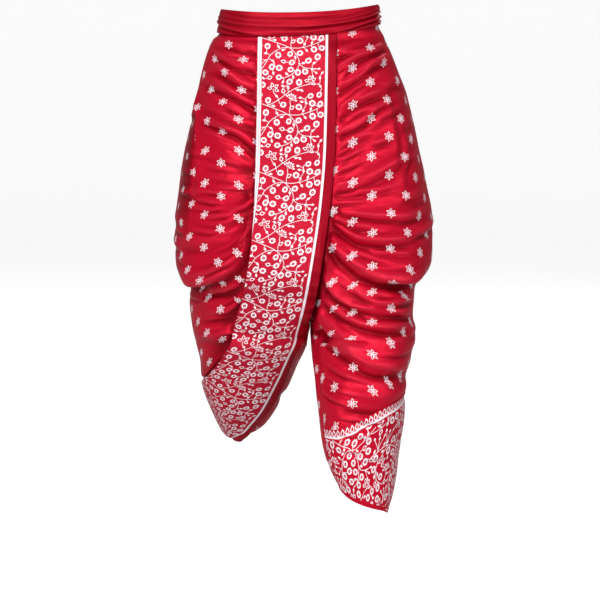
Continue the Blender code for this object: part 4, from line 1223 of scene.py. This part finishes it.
def find_on_grid(flat, wanted):
    """Places on a grid, as row and column, where its flat measures are the wanted ones.
    Newton's steps on the straight-line reading of the grid."""
    rows, cols = flat.shape[:2]
    lines, posts = np.arange(rows), np.arange(cols)
    read = functools.partial(read_table, lines, posts, flat)
    middle = flat[:, cols // 2]
    i = np.interp(wanted[:, 1], middle[:, 1], lines)
    j = np.full(len(wanted), cols / 2.0)
    for _ in range(12):
        i0, j0 = np.clip(i, 0.5, rows - 1.5), np.clip(j, 0.5, cols - 1.5)
        di = read(i0 + 0.5, j0) - read(i0 - 0.5, j0)
        dj = read(i0, j0 + 0.5) - read(i0, j0 - 0.5)
        miss = wanted - read(i, j)
        det = di[:, 0] * dj[:, 1] - di[:, 1] * dj[:, 0]
        i = np.clip(i + (miss[:, 0] * dj[:, 1] - miss[:, 1] * dj[:, 0]) / det, 0, rows - 1)
        j = np.clip(j + (di[:, 0] * miss[:, 1] - di[:, 1] * miss[:, 0]) / det, 0, cols - 1)
    return i, j


def printed_shell(name, cloth, draw_print, wall, sizes, ground_material, ink_material):
    """Closed printed cloth over a curved grid: the flat net is laid on the grid, doubled by
    the wall along the normals and joined round its cut edge."""
    flat, outer, outward = cloth
    edge = np.concatenate([flat[0, :-1], flat[:-1, -1], flat[-1, :0:-1], flat[:0:-1, 0]])
    points, faces, ink = cut_and_print(edge, draw_print(flat, sizes), sizes.net_step)
    i, j = find_on_grid(flat, points)
    lines, posts = np.arange(outer.shape[0]), np.arange(outer.shape[1])
    front = read_table(lines, posts, outer, i, j)
    normal = unit(read_table(lines, posts, normals_of(outer, False, outward), i, j))
    p = front[faces]
    if (np.cross(p[:, 1] - p[:, 0], p[:, 2] - p[:, 0]) * normal[faces[:, 0]]).sum() < 0:
        faces = faces[:, ::-1]
    sides = np.concatenate([faces[:, [0, 1]], faces[:, [1, 2]], faces[:, [2, 0]]])
    _, first, count = np.unique(np.sort(sides, 1), axis=0, return_index=True, return_counts=True)
    rim = sides[first[count == 1]]
    a, b = rim[:, 0], rim[:, 1]
    c, d = a + len(front), b + len(front)
    closing = np.concatenate([np.stack([b, a, c], -1), np.stack([b, c, d], -1)])
    whole = np.concatenate([faces, faces[:, ::-1] + len(front), closing])
    slots = np.concatenate([ink, np.zeros(len(faces) + len(closing))])
    both = np.concatenate([front, front - wall * normal])
    materials = [ground_material, ink_material]
    return put_mesh(name, both, whole, np.tile(points, (2, 1)), slots, materials)


# ---- the pieces
def leg_flat(one, ss, zz, outer, upright, gathered):
    """Flat measures on a leg: across is the share from an upright line times the girth, and
    down is the length along the folded cloth, evened over its neighbours, and longer by
    what fine gathers take up."""
    s = np.linspace(0, 0.6, 200)
    levels = one.levels
    reach = np.abs(smooth_leg(one, s[None, :], levels[:, None])[..., 0])
    line = through(upright, levels)[:, 0]
    rising = [row[:np.argmax(row)] for row in reach]
    middle = np.array([np.interp(x, row, s[:len(row)]) for x, row in zip(line, rising)])
    across = (ss - np.interp(zz, levels, middle)) * one.girth(zz)
    down = np.concatenate([np.zeros((1, ss.shape[1])), smoothed(steps_of(outer), 12, 1).cumsum(0)])
    return np.stack([across, down * gathered], -1)


def make_leg(name, which, wall, upright, gathered, shift, material):
    """Draped leg: fine shell over the folded form."""
    one = leg(which)
    rows, cols = LEG_GRID
    ss, vv = np.meshgrid(np.linspace(0, 1, cols + 1), np.linspace(0, 1, rows + 1))
    zz = leg_height(one, ss, vv)
    outer = leg_point(one, ss, zz)
    uv = leg_flat(one, ss, zz, outer, upright, gathered) + shift
    # Painted shade where the cloth runs under the panel's edge and, on the right leg, on the flank
    # turned from the light.
    past = (ss - through(one.cover, zz)[..., 0]) * one.girth(zz)
    painted_shade = -np.exp(-np.square(past / TUCK_SHADE)) * ease((TUCK_TOPS[which] - zz) / TUCK_FADE)
    if which == "right":
        past = ss - through(FLANK, zz)[..., 0]
        strip = ease(past / FLANK_EDGE) * ease((FLANK_WIDTH - past) / 0.10)
        painted_shade -= FLANK_SHADE * strip * ease((-0.12 - zz) / 0.06) * ease((zz + 0.43) / 0.10)
    out = out_of_leg(one, ss, zz)
    return shell(name, outer, out, wall, uv, material, LEG_SHADING, extra_painted_shade=painted_shade)


@functools.cache
def hip_skin():
    """Taut front over both thighs: the smooth legs moved out, bridged where they fall back.
    Gives heights, sideways places and a table of depths."""
    z = np.linspace(*HIP_HEIGHTS, HIP_LEVELS)
    x = np.linspace(*HIP_PLACES, HIP_SAMPLES)
    s = np.linspace(*HIP_SHARES, 140)
    skins = {}
    for name in ("right", "left"):
        one = leg(name)
        points = smooth_leg(one, s, z[:, None]) + PANEL_LIFT * out_of_leg(one, s, z[:, None])
        rows = points[:, :: one.side]
        skins[name] = np.stack([np.interp(x, row[:, 0], row[:, 1]) for row in rows])
    seam = through(SEAM_ROWS, z)
    y = np.where(x[None, :] < seam, skins["right"], skins["left"])
    left, _, right = np.moveaxis(through(PANEL_EDGES, z), -1, 0)
    covered = (x[None, :] > left[:, None] - 0.02) & (x[None, :] < right[:, None] + 0.012)
    taut = np.where(covered, y, 1.0)
    for j in range(HIP_SAMPLES):
        for k in range(j + 2, HIP_SAMPLES):
            share = ((x[j + 1 : k] - x[j]) / (x[k] - x[j]))[None, :]
            line = taut[:, j : j + 1] * (1 - share) + taut[:, k : k + 1] * share
            y[:, j + 1 : k] = np.minimum(y[:, j + 1 : k], line)
    return z, x, y


def panel_place(rows, z, share):
    """Reads a place across the panel: 0 left edge, 1 seam, 2 right edge of the edging."""
    left, seam, right = np.moveaxis(through(rows, z), -1, 0)
    return np.where(share < 1, left + (seam - left) * share, seam + (right - seam) * (share - 1))


def panel_base(z, share):
    """Panel's outer face: taut over the hips above, round the calf's oval below."""
    x = panel_place(PANEL_EDGES, z, share)
    over_gathers = EDGE_LIFT * (1 - ease(share / EDGE_LIFT_REACH))
    hips = np.stack([x, read_table(*hip_skin(), z, x) - over_gathers, z], axis=-1)
    wide, deep = oval_point(np.radians(panel_place(PANEL_TURNS, z, share)), PANEL_ROWS, z)
    calf = np.stack([-wide, deep, z], axis=-1)
    share = ease((PANEL_TURN_TOP - z) / PANEL_TURN_FADE)[..., None]
    return hips * (1 - share) + calf * share


def panel_out(z, share):
    """Unit outward direction of the panel."""
    across = panel_base(z, share + 0.03) - panel_base(z, share - 0.03)
    up = panel_base(z + 0.004, share) - panel_base(z - 0.004, share)
    return unit(np.cross(across, up))


def panel_waves(z, share):
    """Low waves of the hanging panel: slow unevenness and a few sagging swells."""
    slow = EDGING_SWELL * unevenness(share, z, EDGING_RATES, 21)
    sag = 0.0008 * np.sin((z + 0.10 * share) * 46 + 1.7) * ease((-0.30 - z) / 0.2)
    return (slow + sag + 0.0009) * ease((-0.03 - z) / 0.04) * ease((z + 0.86) / 0.03)


def panel_grid(shares, rings):
    """Heights and places for the panel, from under the band to its slanting foot."""
    share, vv = np.meshgrid(shares, np.linspace(0, 1, rings))
    angle = band_angle(panel_base(np.full(share.shape, PANEL_EDGES[0][0]), share))
    top = band_height(angle, BAND_FOOT) - PANEL_TOP_GAP
    return top + (through(PANEL_FOOT, share)[..., 0] - top) * vv, share


def panel_cloth():
    """The printed field's flat measures, outer points and outward directions. Across runs
    left from the edging, and down is the length along each column."""
    rows, cols = PANEL_GRID
    zz, share = panel_grid(np.linspace(0, 1 - PIECE_GAP / PANEL_WIDTH, cols + 1), rows + 1)
    out = panel_out(zz, share)
    outer = panel_base(zz, share) + panel_waves(zz, share)[..., None] * out
    across = steps_of(outer, 1)[:, ::-1].cumsum(1)[:, ::-1]
    across = -np.concatenate([across, np.zeros((rows + 1, 1))], 1)
    down = steps_of(outer).cumsum(0)
    down = np.concatenate([np.zeros((1, cols + 1)), smoothed(down, 3, 1)])
    return np.stack([across, down], -1), outer, out


def strip(near, far, ink):
    """Print between two lines."""
    return [(np.concatenate([near, far[::-1]]), ink)]


def panel_print(flat, sizes):
    """Vine over the field, a bold line by the edging and a braid down the left edge that
    turns out of sight below the hip."""
    width = -flat[:, 0, 0].min()
    repeat = vine(width - sizes.line_width, sizes.vine_repeat, PRINT_SEED)
    shapes = []
    shift = -width - 0.001
    for k in range(-1, int(flat[..., 1].max() / sizes.vine_repeat) + 2):
        shapes += [(s + [shift, k * sizes.vine_repeat], ink) for s, ink in repeat]
    left = flat[::4, 0]
    down = left[:, 1]
    none = np.zeros(len(down))
    wrap = BRAID_TURN * ease((down - BRAID_FROM) / BRAID_OVER)
    clear = np.stack([left[:, 0] - 0.002, down], -1)
    shapes += strip(clear, left + np.stack([np.maximum(BRAID_ROOM - wrap, 0), none], -1), 0)
    for near, far in BRAID:
        near, far = np.stack([near - wrap, none], -1), np.stack([far - wrap, none], -1)
        shapes += strip(left + near, left + far, 1)
    line = np.stack([none, flat[::4, -1, 1]], -1)
    line[-1, 1] += 0.01
    shapes += strip(line - [LINE_ROOM, 0], line + [0.002, 0], 0)
    shapes += strip(line - [LINE_GAP + sizes.line_width, 0], line - [LINE_GAP, 0], 1)
    return shapes


def border_cloth():
    """The hem border's flat measures, outer points and outward directions. Across is the
    length along the border's line, and down is the length below it."""
    one = leg("left")
    rows, cols = BORDER_GRID
    ss, vv = np.meshgrid(np.linspace(*BORDER_SPAN, cols + 1), np.linspace(0, 1, rows + 1))
    top = through(BORDER_LINE, ss)[..., 0] + BORDER_LEAVES
    zz = top + (through(LEFT_HEM, ss)[..., 0] - 0.001 - top) * vv
    outer = leg_point(one, ss, zz, BORDER_FACE)
    line = outer[0]
    across = np.broadcast_to(np.append(0, steps_of(line).cumsum()), ss.shape)
    dx, dy, dz = np.gradient(line, axis=0).T
    level = np.hypot(dx, dy)
    slant = smoothed(level / np.hypot(dz, level), 8, 0)
    down = np.concatenate([np.zeros((1, cols + 1)), steps_of(outer).cumsum(0)]) * slant
    return np.stack([across, down], -1), outer, out_of_leg(one, ss, zz)


def border_print(flat, sizes):
    """Vine below a white line, a row of hollow leaves standing on the line and a thin line
    by the lowest hem."""
    length, deep = flat[..., 0].max(), flat[..., 1].max()
    repeat = vine(BORDER_VINE, sizes.vine_repeat, PRINT_SEED + 5)
    wide, tall = BORDER_VINE * BORDER_PRINT, sizes.vine_repeat * BORDER_PRINT
    shapes = []
    for k in range(-1, int(length / wide) + 2):
        for row in range(-1, int(deep / tall) + 2):
            shift = BORDER_START + np.array([k * wide, (row + BORDER_STAGGER * k) * tall])
            shapes += [(s * BORDER_PRINT + shift, ink) for s, ink in repeat]
    hem = flat[-1, ::2]
    shapes += strip(hem - [0, 0.0085], hem + [0, 0.004], 0)
    low = hem[int(len(hem) * 0.30):int(len(hem) * 0.62)]
    shapes += strip(low - [0, 0.0056], low - [0, 0.0040], 1)
    line = np.stack([np.linspace(-0.01, length + 0.01, 160), np.zeros(160)], -1)
    shapes += strip(line[::159] - [0, 0.01], line[::159] + [0, 0.020], 0)
    for x in np.arange(0.003, length, LEAF_PITCH):
        shapes += ring_leaf((x, LEAF_ROOT), -math.pi / 2, *LEAF_SIZE)
    low = LEAF_LINE + sizes.line_width * 0.85
    return shapes + strip(line + [0, LEAF_LINE], line + [0, low], 1)


BAND_FOLDS = (
    # crest height, spread above, spread below, hollow, peak, fade in, fade out in degrees,
    # then the crest as pairs of angle and share up the band
    (0.0029, 0.005, 0.0026, 1.0, 1.4, 20, 14,
     (-215, 0.66, -180, 0.47, -160, 0.33, -139, 0.22, -117, 0.07, -100, 0.0)),
    (0.0019, 0.005, 0.003, 0.8, 1.6, 20, 30,
     (-195, 0.74, -165, 0.62, -140, 0.52, -110, 0.44, -70, 0.4)),
    (0.0014, 0.004, 0.0026, 0.8, 1.6, 20, 30, (-190, 0.9, -160, 0.78, -125, 0.66, -85, 0.6)),
    (0.0013, 0.004, 0.0026, 0.8, 1.6, 20, 30, (-150, 0.94, -120, 0.84, -90, 0.8, -50, 0.86)),
    (0.0033, 0.005, 0.0022, 1.1, 1.3, 26, 20,
     (-104, 0.34, -82, 0.39, -51, 0.47, -25, 0.56, 0, 0.64, 30, 0.7)),
    (0.0017, 0.0038, 0.0024, 0.8, 1.5, 26, 20, (-92, 0.5, -60, 0.6, -30, 0.73, 0, 0.84, 30, 0.9)),
    (0.003, 0.0046, 0.0022, 1.1, 1.3, 14, 26,
     (-74, 0.0, -65, 0.06, -45, 0.22, -20, 0.32, 0, 0.38, 34, 0.42)),
    (0.0016, 0.004, 0.0024, 0.8, 1.5, 16, 22, (-58, 0.0, -40, 0.07, -15, 0.14, 10, 0.2, 40, 0.22)),
    (0.0017, 0.006, 0.0034, 0.7, 1.7, 24, 24, (-128, 0.14, -105, 0.16, -85, 0.14, -64, 0.2)),
    (0.0029, 0.005, 0.0026, 1.0, 1.4, 24, 24, (6, 0.68, 50, 0.62, 90, 0.46, 130, 0.36, 175, 0.3)),
    (0.0019, 0.005, 0.003, 0.8, 1.6, 24, 24, (20, 0.86, 70, 0.78, 120, 0.66, 160, 0.6, 190, 0.62)),
    (0.0026, 0.005, 0.0026, 1.0, 1.4, 24, 24, (10, 0.36, 50, 0.26, 90, 0.16, 130, 0.05)),
    (0.002, 0.0046, 0.0026, 0.9, 1.5, 24, 24, (95, 0.04, 130, 0.16, 165, 0.36, 195, 0.56)),
    (0.0014, 0.004, 0.0026, 0.8, 1.6, 24, 24, (60, 0.92, 100, 0.88, 150, 0.84, 185, 0.78)),
)


def make_band(name, wall, material):
    """Shirred waistband: squared oval with diagonal folds, closed round the waist."""
    rows, cols = BAND_GRID
    angle = np.linspace(-np.pi, np.pi, cols + 1)[:-1]
    aa, uu = np.meshgrid(angle, np.linspace(1, 0, rows))
    right, left, front, back = np.moveaxis(through(BAND_OVAL, uu), -1, 0)
    c, s = np.cos(aa), np.sin(aa)
    x = np.where(c > 0, left, right) * bulged(c)
    y = np.where(s > 0, back, -front) * bulged(s)
    foot, rim = band_height(aa, BAND_FOOT), band_height(aa, BAND_RIM)
    points = np.stack([x, y, foot + (rim - foot) * uu], axis=-1)
    outward = unit(np.stack([c / 0.155, s / 0.11, 0 * c], axis=-1))
    lift = BAND_SWELL * unevenness(aa, uu, BAND_RATES, 31)
    degrees = np.degrees(aa)
    for height, above, below, hollow, peak, fade_in, fade_out, line in BAND_FOLDS:
        line = np.reshape(line, (-1, 2))
        begin, end = line[0, 0], line[-1, 0]
        middle = (begin + end) / 2
        turn = (degrees - middle + 180) % 360 - 180 + middle
        d = (uu - through(line, turn)[..., 0]) * (rim - foot)
        fade = ease((turn - begin) / fade_in) * ease((end - turn) / fade_out)
        lift = lift + height * fade * fold_profile(d, above, below, hollow, peak)
    lift = lift * ease(uu / 0.05) * ease((1 - uu) / 0.03)
    outer = points + lift[..., None] * outward
    run = np.append(0, steps_of(points[rows // 2]).cumsum())
    uv = np.stack([np.broadcast_to(run, aa.shape), (1 - uu) * 0.046], -1)
    return shell(name, outer, outward, wall, uv, material, BAND_SHADING, around=True)


def make_edging(name, wall, material):
    """Plain edging beside the printed field, with a shallow rolled edge."""
    zz, share = panel_grid(np.linspace(1, 2, EDGING_POSTS), PANEL_GRID[0] + 1)
    across = share - 1
    out = panel_out(zz, share)
    turned_edge = np.square(np.clip((across - 0.8) / 0.2, 0, 1))
    roll = 0.0004 * np.sin(across * math.pi) - 0.0008 * turned_edge
    outer = panel_base(zz, share) + (panel_waves(zz, share) + roll)[..., None] * out
    down = np.append(0, steps_of(outer[:, 4]).cumsum())
    uv = np.stack([across * EDGING_WIDTH, np.broadcast_to(down[:, None], zz.shape)], -1)
    return shell(name, outer, out, wall, uv, material, EDGING_SHADING)


# ---- add-on
def metres(name, description, default):
    """A length in metres."""
    return bpy.props.FloatProperty(
        name=name, description=description, default=default, unit="LENGTH")


def tint(name, description, *default):
    """A colour with its alpha."""
    return bpy.props.FloatVectorProperty(
        name=name, description=description, subtype="COLOR", size=4, default=(*default, 1))


class DhotiSizes(bpy.types.PropertyGroup):
    """Sizes of the cloth and of its print."""

    leg_wall: metres("Leg cloth", "Thickness of the leg cloth", 0.0012)
    panel_wall: metres("Panel cloth", "Thickness of the front panel", 0.0014)
    border_wall: metres("Border cloth", "Thickness of the hem border", 0.0010)
    band_wall: metres("Waistband", "Thickness of the waistband", 0.0024)
    star_pitch: metres("Star pitch", "Distance between columns of stars", 0.0365)
    star_drop: metres("Star drop", "Distance between stars in a column", 0.0765)
    star_radius: metres("Star radius", "Reach of a star's points", 0.0100)
    star_stroke: metres("Star stroke", "Width of a star's outline", 0.00115)
    vine_repeat: metres("Vine repeat", "Length of the vine's repeat", 0.127)
    line_width: metres("Line", "Width of the bold printed line", 0.0048)
    net_step: metres("Cloth net", "Spacing of points in printed cloth", 0.0040)


class DhotiColours(bpy.types.PropertyGroup):
    """Colours of the satin and of its print."""

    cloth: tint("Leg satin", "Red of the legs", 0.55, 0.005, 0.026)
    panel: tint("Panel satin", "Red of the panel", 0.50, 0.010, 0.032)
    band: tint("Band satin", "Red of the waistband", 0.36, 0.002, 0.013)
    edging: tint("Edging satin", "Red of the edging", 0.31, 0.002, 0.012)
    ink: tint("Print white", "White of the print", 0.87, 0.78, 0.83)


class DhotiStage(bpy.types.PropertyGroup):
    """Floor, camera and light."""

    floor: metres("Floor", "Height of the floor", -1.06)
    lens: bpy.props.FloatProperty(
        name="Lens", description="Focal length", default=110.8, unit="CAMERA")
    key: bpy.props.FloatProperty(
        name="Key light", description="Power of the main light in watts", default=91.0)
    world: bpy.props.FloatProperty(
        name="Surroundings", description="Strength of the white surroundings", default=0.20)


class Step:
    """What the operators share: each makes its pieces from the sizes and colours."""

    def execute(self, context):
        self.make(context.scene.dhoti_sizes, context.scene.dhoti_colours)
        return {"FINISHED"}


class DHOTI_OT_legs(Step, bpy.types.Operator):
    """Drape both legs in star-printed satin"""

    bl_idname = "dhoti.legs"
    bl_label = "Legs"

    def make(self, sizes, colours):
        stars = (sizes.star_pitch, sizes.star_drop, sizes.star_radius, sizes.star_stroke)
        material = satin("star_satin_draped", colours.cloth, 0.31, 0.0016, stars, colours.ink)
        for name, which, upright, gathered, shift, flat, area in (
            ("right_leg_cloth", "right", RIGHT_UPRIGHT, 1.16, (0.004, 0.0), (0.92, 0.86), 0.62),
            ("left_leg_cloth", "left", LEFT_UPRIGHT, 1.00, (0.005, -0.0132), (0.94, 0.95), 0.66),
        ):
            piece = make_leg(name, which, sizes.leg_wall, upright, gathered, shift, material)
            dress(piece, name.replace("_cloth", ""))


class DHOTI_OT_hem_border(Step, bpy.types.Operator):
    """Lay the printed border round the left hem"""

    bl_idname = "dhoti.hem_border"
    bl_label = "Hem border"

    def make(self, sizes, colours):
        ground = satin("border_satin", colours.cloth, 0.38, 0.0010)
        ink = print_ink("border_ink", colours.ink)
        piece = printed_shell(
            "left_hem_border_cloth", border_cloth(), border_print, sizes.border_wall, sizes,
            ground, ink)
        dress(piece, "left_hem_border")


class DHOTI_OT_front_panel(Step, bpy.types.Operator):
    """Hang the vine-printed front panel"""

    bl_idname = "dhoti.front_panel"
    bl_label = "Front panel"

    def make(self, sizes, colours):
        ground = satin("vine_satin_hung", colours.panel, 0.42, 0.0008)
        ink = print_ink("panel_ink", colours.ink)
        piece = printed_shell(
            "front_panel_cloth", panel_cloth(), panel_print, sizes.panel_wall, sizes, ground, ink)
        dress(piece, "front_panel")


class DHOTI_OT_panel_edging(Step, bpy.types.Operator):
    """Run the plain edging down the panel"""

    bl_idname = "dhoti.panel_edging"
    bl_label = "Panel edging"

    def make(self, sizes, colours):
        material = satin("edging_satin_rolled", colours.edging, 0.40, 0.0006)
        piece = make_edging("panel_edging_cloth", sizes.panel_wall, material)
        dress(piece, "panel_edging")


class DHOTI_OT_waistband(Step, bpy.types.Operator):
    """Wrap the shirred waistband"""

    bl_idname = "dhoti.waistband"
    bl_label = "Waistband"

    def make(self, sizes, colours):
        material = satin("band_satin_shirred", colours.band, 0.36, 0.0010)
        piece = make_band("waistband_cloth", sizes.band_wall, material)
        dress(piece, "waistband")


class DHOTI_OT_stage(bpy.types.Operator):
    """Set the floor, soft lights and camera"""

    bl_idname = "dhoti.stage"
    bl_label = "Stage"

    def execute(self, context):
        stage = context.scene.dhoti_stage
        make_floor(stage.floor)
        make_lights(stage.key, stage.world)
        make_camera(stage.lens)
        context.scene.view_settings.view_transform = "Standard"
        return {"FINISHED"}


def make_floor(height):
    """Pale floor that rises into a wall all round: a disc, a quarter turn and a wall, turned
    about the upright axis. A little light of its own keeps it white."""
    flat, radius, top = 6.0, 2.0, 9.0
    bend = np.linspace(0, math.pi / 2, 20)
    curve = flat + radius * np.sin(bend)
    reach = np.concatenate([[0.0, flat / 3, flat / 1.5], curve, [flat + radius]])
    rise = np.concatenate([[0.0, 0.0, 0.0], radius * (1 - np.cos(bend)), [top]]) + height
    turn = np.linspace(0, 2 * math.pi, 65)[:-1]
    reach, rise = reach[:, None], rise[:, None]
    points = np.stack([reach * np.cos(turn), reach * np.sin(turn), rise + 0 * turn], -1)
    material, tree, shader = new_material(
        "pale_floor", Base_Color=(0.45, 0.45, 0.45, 1), Roughness=0.9, Emission_Color=(1, 1, 1, 1))
    seen = tree.nodes.new("ShaderNodeLightPath")
    glow = Signal(tree, seen.outputs["Is Camera Ray"]) * 0.80 + 0.03
    tree.links.new(glow.socket, shader.inputs["Emission Strength"])
    faces = grid_faces(len(reach), len(turn), True)[:, ::-1]
    floor = put_mesh("floor", points.reshape(-1, 3), faces, points[..., :2].reshape(-1, 2),
                     np.zeros(len(faces)), [material])


def aimed(obj, place, aim):
    """Puts a light or camera at a place, facing a point."""
    obj.location = place
    obj.rotation_euler = (Vector(aim) - Vector(place)).to_track_quat("-Z", "Y").to_euler()
    return obj


LIGHTS = (
    # name, place, aim, size, share of the key light's power
    ("key", (-1.2, -2.8, 2.1), (0, 0, -0.45), 0.8, 1.0),
    ("fill", (2.3, -2.3, 0.9), (0, 0, -0.5), 1.8, 0.60),
    ("low", (-1.3, -2.3, -0.45), (0, 0, -0.75), 0.8, 0.30),
    ("back", (0.6, 3.0, 1.6), (0, 0, -0.45), 1.6, 0.35),
)


def make_lights(power, surroundings):
    """Square soft lights: key from the front left above, a weaker fill from the right, a low
    light from the front left and one for the backdrop; and white surroundings."""
    for name, place, aim, size, share in LIGHTS:
        data = bpy.data.lights.new(name, "AREA")
        data.size, data.energy = size, power * share
        aimed(put_object(name, data), place, aim)
    world = bpy.data.worlds.new("surroundings")
    world.use_nodes = True
    set_sockets(world.node_tree.nodes["Background"], Color=(1, 1, 1, 1), Strength=surroundings)
    bpy.context.scene.world = world


def make_camera(lens):
    """Camera in front of the garment at waist height, tipped down a little."""
    data = bpy.data.cameras.new("camera")
    data.lens, data.sensor_width = lens, 36.0
    data.clip_start, data.clip_end = 0.05, 60.0
    camera = put_object("camera", data)
    bpy.context.scene.camera = aimed(camera, (0.0, -3.6, -0.03), (0.0, 0.0, -0.544))


class DHOTI_PT_sidebar(bpy.types.Panel):
    """Lists the steps and their sizes"""

    bl_label = "Dhoti pants"
    bl_idname = "DHOTI_PT_sidebar"
    bl_space_type = "VIEW_3D"
    bl_region_type = "UI"
    bl_category = "Dhoti"

    def draw(self, context):
        for step in STEPS:
            self.layout.operator(step.bl_idname)
        for name in GROUPS:
            group = getattr(context.scene, name)
            for key in group.__annotations__:
                self.layout.prop(group, key)


STEPS = (
    DHOTI_OT_stage,
    DHOTI_OT_legs,
    DHOTI_OT_hem_border,
    DHOTI_OT_front_panel,
    DHOTI_OT_panel_edging,
    DHOTI_OT_waistband,
)
GROUPS = {"dhoti_sizes": DhotiSizes, "dhoti_colours": DhotiColours, "dhoti_stage": DhotiStage}
CLASSES = (*GROUPS.values(), *STEPS, DHOTI_PT_sidebar)


def register():
    for cls in CLASSES:
        bpy.utils.register_class(cls)
    for name, group in GROUPS.items():
        setattr(bpy.types.Scene, name, bpy.props.PointerProperty(type=group))


def unregister():
    for name in GROUPS:
        delattr(bpy.types.Scene, name)
    for cls in reversed(CLASSES):
        bpy.utils.unregister_class(cls)


def main():
    """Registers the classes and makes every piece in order."""
    register()
    for step in STEPS:
        group, name = step.bl_idname.split(".")
        getattr(getattr(bpy.ops, group), name)()


if __name__ == "__main__":
    main()
